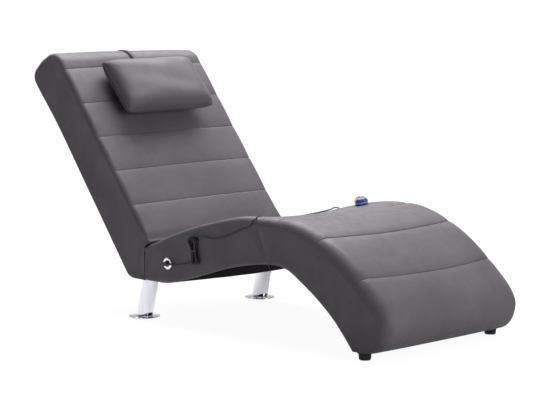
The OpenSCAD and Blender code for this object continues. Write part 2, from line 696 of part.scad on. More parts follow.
// Legs
leg_top_x = rail_front - cross_t * 0.75;
block_h = foam_t;
block_w = leg_d + 2 * cover_t + back_corner;
leg_axis = unit([-tan(leg_lean), tan(leg_spread), -1]);
leg_drop = base_h - gap;
stud_d = bolt_d;
function leg_point(z) = let (t = (leg_drop - z) / -leg_axis[2])
    [leg_top_x, leg_gauge / 2, leg_drop] + t * leg_axis;
module leg_at(z) {
    translate(leg_point(z)) children();
}
module leg_bores() {
    both_sides() translate([leg_top_x, leg_gauge / 2, base_h - over])
        cylinder(d = stud_d + 4 * bolt_room, h = cover_t + 2 * over);
}
plate_t = 3;
plate_w = leg_d * 0.92;
block_rear = rear_x(base_in, rear_wall) + back_corner;
module leg_blocks() {
    color("tan") place() both_sides()
        board([block_rear, back_cross_y - block_w, base_in + plate_t],
              [rail_front - cross_t, back_cross_y, base_in + plate_t + block_h]);
}
module leg_mount_plates() {
    color("silver") place() both_sides() difference() {
        board([rail_front - plate_w, back_cross_y - block_w + gap, base_in],
              [rail_front, back_cross_y - gap, base_in + plate_t - gap]);
        translate([leg_top_x, leg_gauge / 2, base_h])
            cylinder(d = stud_d + bolt_room, h = block_h);
    }
}
module leg_studs() {
    color("silver") place() both_sides()
        translate([leg_top_x, leg_gauge / 2, base_h - gap - leg_d * 0.3])
            cylinder(d = stud_d, h = leg_d * 0.3 + cover_t + plate_t + block_h * 0.7);
}
// Leaning tube, cut level at both ends, with its cap and the bush of the stud
module leg_tube() {
    low = leg_base_h;
    reach = leg_drop * 1.6;
    cap_t = 3;
    place() difference() {
        intersection() {
            union() {
                difference() {
                    leg_line(reach, leg_d);
                    leg_line(reach + over, leg_d - 2 * leg_wall);
                }
                intersection() {
                    leg_line(reach, leg_d - leg_wall);
                    union() {
                        board([-seat_run, 0, leg_drop - cap_t], [seat_run, seat_w, leg_drop]);
                        translate([leg_top_x, leg_gauge / 2, leg_drop - leg_d * 0.4])
                            cylinder(d = stud_d * 2, h = leg_d * 0.4);
                        board([-seat_run, 0, low], [seat_run, seat_w, low + cap_t]);
                    }
                }
            }
            board([-seat_run, 0, low], [seat_run, seat_w, leg_drop]);
        }
        translate([leg_top_x, leg_gauge / 2, leg_drop - leg_d * 0.3 - gap])
            cylinder(d = stud_d + 2 * run_gap, h = leg_d);
    }
}
module leg_line(h, d) {
    translate([leg_top_x, leg_gauge / 2, leg_drop])
        rotate([0, 0, atan2(leg_axis[1], leg_axis[0])])
        rotate([0, acos(leg_axis[2]), 0]) translate([0, 0, -h / 4]) cylinder(d = d, h = h);
}
module far_leg_tube() {
    color("white") leg_tube();
}
module near_leg_tube() {
    color("white") mirror([0, 1, 0]) leg_tube();
}
glide_t = 1.5;
module leg_base() {
    rim = leg_base_h * 0.36;
    r = leg_base_d / 2;
    place() leg_at(0) rotate_extrude() polygon(concat(
        [[0, glide_t], [r - glide_t, glide_t], [r, glide_t + rim / 3], [r, glide_t + rim * 0.7],
         [r - rim / 2, glide_t + rim]],
        [for (k = [1:8]) let (t = k / 8, q = r * (1 - 0.48 * t))
            [q, glide_t + rim + (leg_base_h - gap - glide_t - rim) * sin(90 * t)]],
        [[0, leg_base_h - gap]]));
}
module far_leg_base() {
    color("white") leg_base();
}
module near_leg_base() {
    color("white") mirror([0, 1, 0]) leg_base();
}
module leg_glides() {
    color("black") place() both_sides() leg_at(0)
        cylinder(d = leg_base_d * 0.88, h = glide_t - gap / 3);
}

// Front feet
foot_x = seat_run * 0.893;
foot_taper = 2;
module foot_places() {
    for (y = [-foot_gauge / 2, foot_gauge / 2]) translate([foot_x, y, 0]) children();
}
screw_d = 5;
module front_feet() {
    color("black") place() foot_places() difference() {
        rotate_extrude() polygon([[0, 0], [foot_d / 2 - foot_taper - 1.5 * glide_t, 0],
            [foot_d / 2 - foot_taper, 1.5 * glide_t], [foot_d / 2, foot_h - gap], [0, foot_h - gap]]);
        translate([0, 0, -over]) cylinder(d = screw_d * 2.2, h = over + foot_h * 0.5);
        translate([0, 0, -over]) cylinder(d = screw_d + 2 * bolt_room, h = foot_h + 2 * over);
    }
}
module foot_bores() {
    foot_places() cylinder(d = screw_d + 4 * bolt_room, h = foot_h + cover_t + over);
}
module foot_pilots() {
    foot_places() cylinder(d = screw_d + 2 * run_gap, h = foot_h + foam_t);
}
module foot_screws() {
    color("silver") place() foot_places() {
        translate([0, 0, foot_h * 0.5 - gap]) cylinder(d = screw_d, h = foot_h * 0.5 + foam_t * 0.8);
        translate([0, 0, foot_h * 0.5 - screw_d * 0.6 - gap / 3])
            cylinder(d = screw_d * 1.9, h = screw_d * 0.6);
    }
}

// Pillow: its halves swell between a thin rim, and its sides draw in between its corners
pillow_draw = 0.045;
pillow_rim = 1.5;
function swell(u, w, t) = pillow_rim + (t / 2 - pillow_rim)
    * pow(max(0, (1 - pow(abs(u), 2.6)) * (1 - pow(abs(w), 2.6))), 0.46);
function pillow_loop(u, w, h, t, n) = let (
        y = w / 2 * u,
        s = [for (k = [0:n]) sin(90 * (2 * k / n - 1))])
    concat(
        [for (c = s) [swell(u, c, t), y * (1 - pillow_draw * (1 - c * c)),
                      h / 2 * c * (1 - pillow_draw * (1 - u * u))]],
        [for (k = [n:-1:0]) let (c = s[k])
            [-swell(u, c, t), y * (1 - pillow_draw * (1 - c * c)),
             h / 2 * c * (1 - pillow_draw * (1 - u * u))]]);
module pillow_form(w, h, t, m, n) {
    loft([for (k = [0:m]) pillow_loop(sin(90 * (2 * k / m - 1)), w, h, t, n)]);
}
pillow_tilt = 3.5;
pillow_v = back_face + back_crown + gap * 2 + pillow_t / 2 + pillow_h / 8 * sin(pillow_tilt);
pillow_cloth = 2;
pillow_room = 8;
module on_pillow() {
    on_back(pillow_place, 0, pillow_v) rotate([0, -pillow_tilt, 0]) children();
}
module pillow_cover() {
    color("gray") place() difference() {
        on_pillow() pillow_form(pillow_w, pillow_h, pillow_t, 18, 12);
        on_pillow() pillow_form(pillow_w - 2 * pillow_room, pillow_h - 2 * pillow_room,
                                pillow_t - 2 * pillow_room, 8, 8);
        on_pillow() board([-gap, -pillow_w / 4, -pillow_h / 2], [gap, pillow_w / 4, 0]);
    }
}
module pillow_fill() {
    r = pillow_room + gap;
    color("ivory") place() on_pillow()
        pillow_form(pillow_w - 2 * r, pillow_h - 2 * r, pillow_t - 2 * r, 8, 8);
}

// Strap: from the pillow's top edge up to the roll, then over it and down the rear
module pillow_strap() {
    edge_h = pillow_h / 2 * (1 - pillow_draw);
    foot_s = pillow_place + edge_h * cos(pillow_tilt) + gap;
    foot_v = pillow_v - edge_h * sin(pillow_tilt) - pillow_rim;
    foot = slab(foot_s, foot_v);
    land_s = foot_s + (strap_split_s - foot_s) * 0.6;
    lift = strap_t + gap;
    color("black") place() prism([
        foot, slab(foot_s, foot_v + strap_t),
        slab(land_s, strap_face_v + lift + strap_t), slab(strap_split_s, strap_face_v + lift + strap_t),
        slab(strap_split_s, strap_face_v + lift), slab(land_s, strap_face_v + lift)],
        -strap_w / 2, strap_w / 2);
}
module strap_anchor() {
    inner = over_roll(0);
    outer = over_roll(strap_t);
    color("black") place()
        prism(concat(inner, [for (k = [len(outer) - 1:-1:0]) outer[k]]), -strap_w / 2, strap_w / 2);
}

// Vibration motors: pods in the underside of the foam, each over a webbing strap
back_motors = [[back_len * 0.7, -pillow_w / 4], [back_len * 0.7, pillow_w / 4],
               [back_len * 0.14, -pillow_w / 4], [back_len * 0.14, pillow_w / 4]];
seat_motors = [for (q = seat_motor_shares) [q * seat_top_len, 0]];
pod_h = motor_d + 3 * pod_wall;
pod_w = pod_h + 4 * pod_wall;
pod_l = motor_len + weight_t + 5 * shaft_d + 2 * pod_wall;
lid_t = pod_wall;
// Turns what follows so that X is out of the seat and Z along it, at a motor's place
module on_seat(s, y) {
    p = seat_in(s, foam_at(s) - gap);
    n = seat_out(s);
    translate([p[0], y, p[1]]) rotate([0, -atan2(n[1], n[0]), 0]) mirror([0, 0, 1]) children();
}
module motor_places() {
    for (m = back_motors) on_back(m[0], m[1], web_face) children();
    for (m = seat_motors) on_seat(m[0], m[1]) children();
}
module motor_place(k) {
    if (k < 4) on_back(back_motors[k][0], back_motors[k][1], web_face) children();
    else on_seat(seat_motors[k - 4][0], seat_motors[k - 4][1]) children();
}
module pod_room() {
    board([-over, -pod_l / 2 - gap, -pod_w / 2 - gap],
          [pod_h + lid_t + 2 * gap, pod_l / 2 + gap, pod_w / 2 + gap]);
}
module pod_outline(inset) {
    r = pod_w / 5 - inset * 0.5;
    l = pod_l - 2 * inset;
    w = pod_w - 2 * inset;
    square([l - 2 * r, w], center = true);
    square([l, w - 2 * r], center = true);
    for (x = [-1, 1], y = [-1, 1]) translate([x * (l / 2 - r), y * (w / 2 - r)]) circle(r);
}
module pod_slab(inset, x0, x1) {
    translate([x0, 0, 0]) rotate([90, 0, 90]) linear_extrude(x1 - x0) pod_outline(inset);
}
pod_floor = gap + pod_wall;
shaft_x = pod_floor + pod_wall / 2 + motor_d / 2;
can_y = pod_wall + gap - pod_l / 2;
module motor_pods() {
    color("black") place() motor_places() difference() {
        pod_slab(0, gap, pod_h);
        pod_slab(pod_wall, pod_floor, pod_h + over);
    }
}
module motor_pod_lids() {
    color("black") place() motor_places() {
        pod_slab(0, pod_h + gap / 2, pod_h + gap / 2 + lid_t - gap);
        pod_slab(pod_wall + gap, pod_h - lid_t / 2, pod_h + gap / 2);
    }
}
module motor_cans() {
    color("silver") place() motor_places() difference() {
        union() {
            translate([shaft_x, can_y, 0]) rotate([-90, 0, 0]) cylinder(d = motor_d, h = motor_len);
            translate([shaft_x, can_y + motor_len, 0]) rotate([-90, 0, 0])
                cylinder(d = motor_d / 3, h = shaft_d);
            board([pod_floor + gap / 3, can_y + motor_len * 0.2, -motor_d / 4],
                  [shaft_x, can_y + motor_len * 0.8, motor_d / 4]);
        }
        translate([shaft_x, can_y + motor_len / 2, 0]) rotate([-90, 0, 0])
            cylinder(d = shaft_d + 2 * run_gap, h = motor_len);
    }
}
module rotor(k) {
    start = can_y + motor_len / 2 + gap;
    hub = can_y + motor_len + 2 * shaft_d;
    color("goldenrod") place() motor_place(k) translate([shaft_x, 0, 0]) {
        translate([0, start, 0]) rotate([-90, 0, 0])
            cylinder(d = shaft_d, h = hub + weight_t + shaft_d / 2 - start);
        translate([0, hub, 0]) rotate([-90, 0, 0]) {
            cylinder(d = shaft_d * 2.4, h = weight_t);
            difference() {
                cylinder(r = weight_r, h = weight_t);
                translate([-weight_r - over, -weight_r * 2, -over])
                    cube([2 * weight_r + 2 * over, 2 * weight_r, weight_t + 2 * over]);
            }
        }
    }
}
module near_shoulder_rotor() {
    rotor(0);
}
module far_shoulder_rotor() {
    rotor(1);
}
module near_lumbar_rotor() {
    rotor(2);
}
module far_lumbar_rotor() {
    rotor(3);
}
module thigh_rotor() {
    rotor(4);
}
module calf_rotor() {
    rotor(5);
}

// Socket in the near side, with its ring outside and its nut behind the rail
socket_x = seat_run * 0.105;
socket_z = base_h + (arch_h - base_h) * 0.6;
socket_d = socket_ring_d / 2;
ring_t = 3;
module socket_at(y) {
    translate([socket_x, y, socket_z]) rotate([-90, 0, 0]) children();
}
module socket_bore() {
    socket_at(-seat_w / 2 - over)
        cylinder(d = socket_d + 2 * bolt_room, h = side_t + rail_t + 2 * over + gap);
}
module socket_ring() {
    w = (socket_ring_d - socket_d) / 2 - 2 * gap;
    color("white") place() socket_at(-seat_w / 2 - gap) rotate_extrude() polygon([
        [socket_d / 2 + gap, 0], [socket_ring_d / 2, 0], [socket_ring_d / 2, -ring_t * 0.4],
        [socket_ring_d / 2 - w * 0.2, -ring_t * 0.85], [socket_ring_d / 2 - w * 0.5, -ring_t],
        [socket_d / 2 + w * 0.2, -ring_t * 0.85], [socket_d / 2 + gap, -ring_t * 0.4]]);
}
jack_d = 6.4;
jack_depth = 10;
socket_face = -seat_w / 2 - ring_t * 0.3;
socket_len = side_t + rail_t + socket_d / 2;
module socket_body() {
    color("black") place() difference() {
        socket_at(socket_face) cylinder(d = socket_d, h = socket_len);
        socket_at(socket_face - over) cylinder(d = jack_d, h = over + jack_depth);
    }
}
module socket_nut() {
    color("silver") place() difference() {
        socket_at(-seat_w / 2 + side_t + rail_t + 2 * gap)
            cylinder(d = socket_d * 1.5, h = socket_d * 0.22, $fn = 6);
        socket_at(-seat_w / 2) cylinder(d = socket_d + 2 * run_gap, h = socket_len + side_t);
    }
}

// Control box on the inner side of the near rail
box_l = 92;
box_h = 34;
box_w = 46;
box_wall = 2;
box_x = rail_rear + cross_t + 2 * gap;
box_z = base_in + cover_t * 2;
box_y = -cross_y + gap;
module box_turn() {
    translate([box_x, box_y, box_z]) children();
}
module control_box() {
    color("dimgray") place() box_turn() difference() {
        cube([box_l, box_w - box_wall, box_h]);
        translate([box_wall, box_wall, box_wall]) cube([box_l - 2 * box_wall, box_w, box_h - 2 * box_wall]);
    }
}
module control_box_lid() {
    color("dimgray") place() box_turn() translate([0, box_w - box_wall + gap / 2, 0])
        cube([box_l, box_wall, box_h]);
}
module control_board() {
    color("green") place() box_turn() {
        translate([box_wall + gap, box_wall + gap, box_wall + 3 * gap])
            cube([box_l - 2 * box_wall - 2 * gap, pcb_t, box_h - 2 * box_wall - 6 * gap]);
        for (k = [0:3]) translate([box_l * (0.15 + 0.2 * k), box_wall + gap + pcb_t, box_h * 0.3])
            cube([box_l * 0.1, box_w * 0.2, box_h * 0.4]);
    }
}

// Loom: from the control box along the near rail to the seat's motors, and through the
// joint and up behind the backrest's webbing
loom_d = 6;
loom_room = loom_d + 6 * bolt_room;
loom_y = box_y + box_w / 2;
loom_back_y = block_w + 3 * loom_d - cross_y;
loom_low_h = box_z + box_h * 0.8;
loom_back_v = back_rail_v - 2 * loom_d;
function loom_at(s) = seat_in(s, rail_depth(s) + loom_d * 2.5);
function loom_point(s, y) = let (p = loom_at(s)) [p[0], y, p[1]];
function loom_up(s, y) = let (p = slab(s, loom_back_v)) [p[0], y, p[1]];
module loom_bores() {
    translate([0, loom_back_y, loom_low_h]) rotate([0, 90, 0])
        cylinder(d = loom_room, h = 4 * cross_t, center = true);
    for (q = seat_cross_shares) if (q < seat_motor_shares[1]) {
        s = q * seat_top_len;
        t = loom_at(s + tick) - loom_at(s - tick);
        translate(loom_point(s, loom_y)) rotate([0, atan2(t[0], t[1]), 0])
            cylinder(d = loom_room, h = 3 * cross_t, center = true);
    }
    for (q = back_cross_shares) on_back(q * back_len + cross_t / 2, loom_back_y, loom_back_v)
        cylinder(d = loom_room, h = 3 * cross_t, center = true);
}
loom_turn_shares = [0.19, 0.36, 0.43, 0.57];
module wiring_harness() {
    start = [box_x + box_l + gap, loom_y, box_z + box_h * 0.6];
    near_0 = seat_cross_shares[0] * seat_top_len;
    near_1 = seat_cross_shares[1] * seat_top_len;
    end_s = seat_motors[1][0] - web_w;
    side = [box_x + box_l * 0.7, box_y + box_w + gap, box_z + box_h / 2];
    color("black") place() {
        tube(even(concat(
            [start, start + [loom_d * 2, 0, 0]],
            [for (s = [loom_turn_shares[0] * seat_top_len, near_0 - cross_t, near_0, near_0 + cross_t,
                       loom_turn_shares[1] * seat_top_len, loom_turn_shares[2] * seat_top_len,
                       near_1 - cross_t, near_1, near_1 + cross_t, loom_turn_shares[3] * seat_top_len])
                loom_point(s, loom_y)],
            [loom_point(end_s, loom_y / 2), loom_point(end_s + web_w / 2, 0)]),
            loom_d * 3), loom_d, 8);
        tube(even([
            side, side + [0, loom_d * 3, 0], side + [-loom_d * 2, loom_d * 6, loom_d],
            [rail_rear + cross_t * 1.9, loom_back_y, loom_low_h],
            [rail_rear + cross_t * 1.2, loom_back_y, loom_low_h],
            [rail_rear + cross_t / 2, loom_back_y, loom_low_h], [0, loom_back_y, loom_low_h],
            [rail_front - cross_t, loom_back_y, loom_low_h],
            [rail_front - cross_t * 1.8, loom_back_y, loom_low_h + loom_d * 2],
            [rail_front - cross_t * 2.1, loom_back_y, loom_low_h + loom_d * 8],
            loom_up(foam_t, loom_back_y), loom_up(back_len * 0.2, loom_back_y),
            loom_up(back_cross_shares[0] * back_len, loom_back_y),
            loom_up(back_cross_shares[0] * back_len + cross_t, loom_back_y),
            loom_up(back_len * 0.45, loom_back_y),
            loom_up(back_cross_shares[1] * back_len, loom_back_y),
            loom_up(back_cross_shares[1] * back_len + cross_t, loom_back_y),
            loom_up(back_cross_shares[1] * back_len + cross_t * 1.7, loom_back_y),
            loom_up(back_motors[0][0] - web_w / 2, (loom_back_y + back_motors[0][1]) / 2),
            loom_up(back_motors[0][0], back_motors[0][1])],
            loom_d * 3), loom_d, 8);
    }
}

// Lead: a right-angle plug, a short run, the tied hank and a long run to the handset
plug_d = 14;
plug_h = 9;
plug_neck = 10.5;
plug_relief = 14;
jack_play = 0.45;
lead_y = -seat_w / 2 - ring_t - plug_h / 2 - gap;
plug_end = [socket_x + plug_neck + plug_relief, lead_y, socket_z];
module lead_plug() {
    head_y = socket_face - gap;
    color("black") place() {
        socket_at(lead_y - plug_h / 2) cylinder(d = plug_d, h = plug_h / 2 + head_y - lead_y);
        difference() {
            socket_at(head_y - gap) cylinder(d = jack_d - 2 * jack_play, h = jack_depth - gap);
            socket_at(head_y + over) cylinder(d = jack_d / 3, h = jack_depth);
        }
        translate([socket_x, lead_y, socket_z]) rotate([0, 90, 0]) {
            cylinder(d = plug_h * 0.9, h = plug_neck);
            translate([0, 0, plug_neck]) cylinder(d1 = plug_h * 0.8, d2 = lead_d + gap, h = plug_relief);
        }
    }
}

// Hank: four hourglass loops, which spiral in and then out again on a second layer
hank_turns = 4;
hank_mid = [225, 241];
hank_half = 43;
hank_tilt = 10;
hank_waist = 10.4;
hank_top_w = 42;
hank_low_w = 26;
hank_step = lead_d + 0.6;
hank_from = -105;
hank_span = 360 * hank_turns;
function hank_loop(t) = let (c = cos(t), w = c > 0 ? hank_top_w : hank_low_w)
    [sin(t) * (hank_waist + (w - hank_waist) * c * c), hank_half * c];
function hank_in(t) = hank_step * (t < hank_span / 2 ? t : hank_span - t) / 360;
function hank_rise(t) = let (c = (t - hank_span / 2) / 90)
    c < -1 ? 0 : c > 1 ? 1 : (1 + sin(90 * c)) / 2;
function hank_spot(x, z, layer) =
    [hank_mid[0] + x * cos(hank_tilt) - z * sin(hank_tilt),
     -seat_w / 2 - gap - lead_d / 2 - hank_step * layer,
     hank_mid[1] + x * sin(hank_tilt) + z * cos(hank_tilt)];
function hank_point(t) = let (
        p = hank_loop(t), n = left_of(hank_loop(t + 1) - hank_loop(t - 1)),
        q = p - hank_in(t) * n)
    hank_spot(q[0], q[1], hank_rise(t));
hank_loops = [for (t = [hank_from:15:hank_span]) hank_point(t)];
hank_start_way = unit(hank_loops[1] - hank_loops[0]);
hank_end_way = unit(last(hank_loops) - hank_loops[len(hank_loops) - 2]);
hank_start = hank_loops[0] - lead_d * hank_start_way;
hank_end = last(hank_loops) + lead_d * hank_end_way;
hank_line = concat([hank_start], hank_loops, [hank_end]);
// Least distance between the surfaces of runs of the hank that aren't neighbours
hank_gap = min([for (i = [0:len(hank_line) - 5], j = [i + 4:len(hank_line) - 1])
    norm(hank_line[i] - hank_line[j])]) - lead_d;
echo(hank_gap = hank_gap);

// Handset, lying on the seat near its far edge: its own X is its width, Y its length
handset_place_share = 0.332;
handset_side_share = 0.82;
handset_yaw = 44;
handset_s = handset_place_share * seat_top_len;
handset_w_at = handset_side_share * seat_w / 2;
handset_mid = seat_skin(handset_s, handset_w_at);
handset_dx = seat_skin(handset_s + handset_h, handset_w_at) - seat_skin(handset_s - handset_h, handset_w_at);
handset_dy = seat_skin(handset_s, handset_w_at + handset_h / 4)
             - seat_skin(handset_s, handset_w_at - handset_h / 4);
handset_pitch = -atan2(handset_dx[2], handset_dx[0]);
handset_roll = atan2(handset_dy[2], handset_dy[1]);
handset_lift = gap * 2;
function about_x(v, a) = [v[0], v[1] * cos(a) - v[2] * sin(a), v[1] * sin(a) + v[2] * cos(a)];
function about_y(v, a) = [v[0] * cos(a) + v[2] * sin(a), v[1], v[2] * cos(a) - v[0] * sin(a)];
function about_z(v, a) = [v[0] * cos(a) - v[1] * sin(a), v[0] * sin(a) + v[1] * cos(a), v[2]];
// Point of the handset in the seat's measures
function handset_spot(v) = handset_mid
    + about_y(about_x(about_z(v + [0, 0, handset_lift], handset_yaw), handset_roll), handset_pitch);
module on_handset() {
    place() translate(handset_mid) rotate([handset_roll, handset_pitch, 0])
        rotate([0, 0, handset_yaw]) translate([0, 0, handset_lift]) children();
}
split_h = handset_h * 0.42;
// Size of the cross section along the handset, as shares of its full size
handset_shape_shares = [[-1, 0.06], [-0.97, 0.42], [-0.88, 0.72], [-0.7, 0.9], [-0.35, 1], [0.1, 0.98],
                        [0.55, 0.88], [0.85, 0.68], [0.96, 0.42], [1, 0.06]];
function handset_ring(q, inset, top) = let (
        w = max(inset, handset_w / 2 * pow(q[1], 0.75) - inset),
        h = top ? handset_h - split_h : split_h,
        z = max(inset, h * pow(q[1], 0.6) - inset))
    [for (t = [180:-15:0]) [w * cos(t), (handset_len / 2 - inset) * q[0],
        (top ? 1 : -1) * max(z * pow(sin(t), 0.6), 0)]];
module handset_half(inset, top) {
    rings = [for (q = handset_shape_shares) handset_ring(q, inset, top)];
    loft(top ? [for (k = [len(rings) - 1:-1:0]) rings[k]] : rings);
}
// Buttons: places as shares of the handset's length and width
key_place_shares = [[0, 0.28], [-0.17, 0.12], [0.17, 0.12], [0, -0.06], [0, -0.22]];
key_gap = 0.2;
key_rim = 0.8;
key_proud = 1.2;
key_floor = (handset_h - split_h) * 0.575;
key_flange_t = 1.2;
function key_xy(k) = [key_place_shares[k][0] * handset_w, key_place_shares[k][1] * handset_len];
relief_flange_d = lead_d + 4;
relief_d = lead_d + 2.6;
relief_bore = relief_d + 2 * gap;
relief_from = handset_len * 0.38;
relief_flange_t = 3;
relief_straight = handset_len * 0.13;
relief_taper = lead_d * 4;
relief_end = relief_from + relief_flange_t + relief_straight + relief_taper;
relief_tip_d = lead_d + 1;
module relief_room() {
    translate([0, relief_from + relief_flange_t, 0]) rotate([-90, 0, 0])
        cylinder(d = relief_bore, h = handset_len);
}
pcb_t = 1.6;
post_d = 5;
board_low = key_floor - key_travel - gap - pcb_t;
module handset_lower_shell() {
    color("white") on_handset() translate([0, 0, split_h]) {
        difference() {
            handset_half(0, false);
            translate([0, 0, gap / 3]) handset_half(handset_wall, false);
            relief_room();
        }
        for (y = [-0.3, 0.2]) translate([0, y * handset_len, handset_wall / 2 - split_h])
            cylinder(d = post_d, h = split_h + board_low - handset_wall / 2 - gap / 3);
    }
}
module handset_upper_shell() {
    color("royalblue") on_handset() translate([0, 0, split_h + gap / 3]) difference() {
        handset_half(0, true);
        translate([0, 0, -gap / 3]) handset_half(handset_wall, true);
        for (k = [0:4]) translate(key_xy(k)) cylinder(d = key_d + 2 * key_gap, h = handset_h);
        relief_room();
    }
}
module handset_board() {
    color("green") on_handset() translate([0, 0, split_h + board_low])
        board([-handset_w * 0.3, -handset_len * 0.36, 0], [handset_w * 0.3, handset_len * 0.34, pcb_t]);
}
module handset_key(k) {
    top = handset_h - split_h + key_proud;
    on_handset() translate([key_xy(k)[0], key_xy(k)[1], split_h]) rotate_extrude() polygon([
        [0, key_floor], [key_d / 2 + key_rim, key_floor], [key_d / 2 + key_rim, key_floor + key_flange_t],
        [key_d / 2, key_floor + key_flange_t], [key_d / 2, top - key_rim],
        [key_d / 2 - key_rim, top], [0, top]]);
}
module power_button() {
    color("red") handset_key(0);
}
module heat_button() {
    color("orange") handset_key(1);
}
module mode_button() {
    color("white") handset_key(2);
}
module faster_button() {
    color("white") handset_key(3);
}
module slower_button() {
    color("white") handset_key(4);
}
module handset_strain_relief() {
    color("black") on_handset() translate([0, relief_from, split_h]) rotate([-90, 0, 0]) {
        cylinder(d = relief_flange_d, h = relief_flange_t);
        cylinder(d = relief_d, h = relief_flange_t + relief_straight);
        translate([0, 0, relief_flange_t + relief_straight])
            cylinder(d1 = relief_d, d2 = relief_tip_d, h = relief_taper);
    }
}

// Places of the lead, from the plug to the hank and on to the handset: beside the seat,
// on its skin, and beside the handset
function beside(x, z, d) = [x, -seat_w / 2 - d, z];
lead_lift = lead_d * 0.75;
function on_skin(s, y) = seat_skin(s, y) + [0, 0, lead_lift];
plug_way = [lead_d, 0, 0];
near_route = concat(
    [plug_end, plug_end + plug_way],
    [beside(145, 190, 7), beside(165, 193, 6), beside(187, 198, 5), beside(203, 204, 3.6),
     beside(212, 212, 2.6)],
    [hank_start - 2 * lead_d * hank_start_way, hank_start - gap / 3 * hank_start_way]);
pan_route = [[487, -290], [481, -274], [471, -256], [446, -228], [406, -170], [367, -90], [336, 0],
             [310, 90], [288, 170], [273, 230], [267, 262]];
tail_route = [[-79, 133, 1.4], [-58, 136, 4], [-37, 132, 9], [-16, 122, 12]];
far_route = concat(
    [hank_end + gap / 3 * hank_end_way, hank_end + 3.2 * lead_d * hank_end_way],
    [beside(264, 289, 5), beside(289, 285, 4), beside(323, 289, 3),
     beside(355, 297, 3), beside(389, 311, 3), beside(421, 325, 3), beside(449, 335, 3),
     beside(466, 346, 3.6), beside(474, 358, 3.4)],
    [for (q = pan_route) on_skin(q[0], q[1])],
    [for (q = tail_route) handset_spot(q)],
    [handset_spot([0, relief_end + 3.2 * lead_d, split_h]),
     handset_spot([0, relief_end + gap / 3, split_h])]);
module lead_near() {
    color("black") place() tube(even(near_route, lead_d * 2), lead_d, 8);
}
module lead_hank() {
    color("black") place() tube(hank_line, lead_d, 6);
}
module lead_far() {
    color("black") place() tube(even(far_route, lead_d * 3.1), lead_d, 8);
}
echo(near_len = length_of(even(near_route, lead_d)), hank_len = length_of(hank_line),
     far_len = length_of(even(far_route, lead_d)));
tie_wall = 1.4;
tie_h = 4;
tie_room = 0.4;
module hank_tie() {
    w = hank_waist + hank_step / 4 + lead_d / 2 + tie_room;
    d = hank_step + lead_d + tie_room + gap;
    color("white") place() translate([hank_mid[0], -seat_w / 2, hank_mid[1]])
        rotate([0, -hank_tilt, 0]) difference() {
            board([-w - tie_wall, -d - tie_wall, -tie_h / 2], [w + tie_wall, -gap / 2, tie_h / 2]);
            board([-w, -d, -tie_h / 2 - over], [w, over, tie_h / 2 + over]);
        }
}

seat_cover();
seat_foam();
seat_near_rail();
seat_far_rail();
seat_cross_rails();
seat_webbing();
seat_dust_cover();
backrest_cover();
backrest_foam();
backrest_near_rail();
backrest_far_rail();
backrest_cross_rails();
backrest_webbing();
heating_pad();
joining_bolts();
joining_nuts();
leg_blocks();
leg_mount_plates();
leg_studs();
near_leg_tube();
far_leg_tube();
near_leg_base();
far_leg_base();
leg_glides();
front_feet();
foot_screws();
pillow_cover();
pillow_fill();
pillow_strap();
strap_anchor();
motor_pods();
motor_pod_lids();
motor_cans();
near_shoulder_rotor();
far_shoulder_rotor();
near_lumbar_rotor();
far_lumbar_rotor();
thigh_rotor();
calf_rotor();
control_box();
control_box_lid();
control_board();
wiring_harness();
socket_ring();
socket_body();
socket_nut();
lead_plug();
lead_near();
lead_hank();
hank_tie();
lead_far();
handset_strain_relief();
handset_lower_shell();
handset_upper_shell();
handset_board();
power_button();
heat_button();
mode_button();
faster_button();
slower_button();
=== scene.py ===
"""Looks of the massage lounge chair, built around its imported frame.

X runs from the backrest towards the foot end, Z is up, and the photographed side is -Y.
All lengths are metres.  Seat measures count X from the joint between backrest and seat.
"""
import math

import bmesh
import bpy
import numpy as np
from mathutils import Matrix, Vector


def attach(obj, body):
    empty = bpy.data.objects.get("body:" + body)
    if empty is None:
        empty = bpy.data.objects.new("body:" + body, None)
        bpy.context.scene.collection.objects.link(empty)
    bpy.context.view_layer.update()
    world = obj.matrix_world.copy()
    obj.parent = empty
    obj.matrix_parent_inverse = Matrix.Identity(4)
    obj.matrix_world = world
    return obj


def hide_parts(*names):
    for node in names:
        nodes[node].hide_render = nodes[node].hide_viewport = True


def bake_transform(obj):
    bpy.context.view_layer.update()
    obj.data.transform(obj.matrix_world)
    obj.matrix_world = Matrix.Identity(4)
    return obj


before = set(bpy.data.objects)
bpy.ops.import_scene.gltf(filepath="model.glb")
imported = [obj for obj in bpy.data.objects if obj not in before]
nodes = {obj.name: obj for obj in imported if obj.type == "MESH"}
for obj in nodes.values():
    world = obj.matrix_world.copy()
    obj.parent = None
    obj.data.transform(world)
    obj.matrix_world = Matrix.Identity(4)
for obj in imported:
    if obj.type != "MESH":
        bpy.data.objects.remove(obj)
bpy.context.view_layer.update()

JOINT_X = -0.235169  # the joint between backrest and seat
JOINT = np.array([JOINT_X, 0, 0])
SEAT_W = 0.604
SEAT_RUN = 1.0  # from the joint to the foot end
FOOT_H = 0.019  # underside of the seat at the front feet
CREST_H = 0.370  # top of the seat at its highest
ARCH_H = 0.232  # underside of the seat at its highest
BACK_W = 0.604
BACK_ANGLE = math.radians(52.5)  # of the slope, from the level
BACK_LEN = 0.718  # along the slope, to the top of the roll
LEAD_D = 0.004


def add(name, data):
    """A new object with the data, at the origin of the scene."""
    piece = bpy.data.objects.new(name, data)
    bpy.context.scene.collection.objects.link(piece)
    return piece


# Camera, as fitted to the photograph: turn, rise and roll in degrees, lens in pixels

VIEW_ANGLES = (43.88, 7.19, 0.30)
VIEW_AIM = Vector((JOINT_X + 0.267, 0, 0.354))
VIEW_FAR = 6.614
LENS_PX, PHOTO_PX, SENSOR_W = 2143, 550, 36


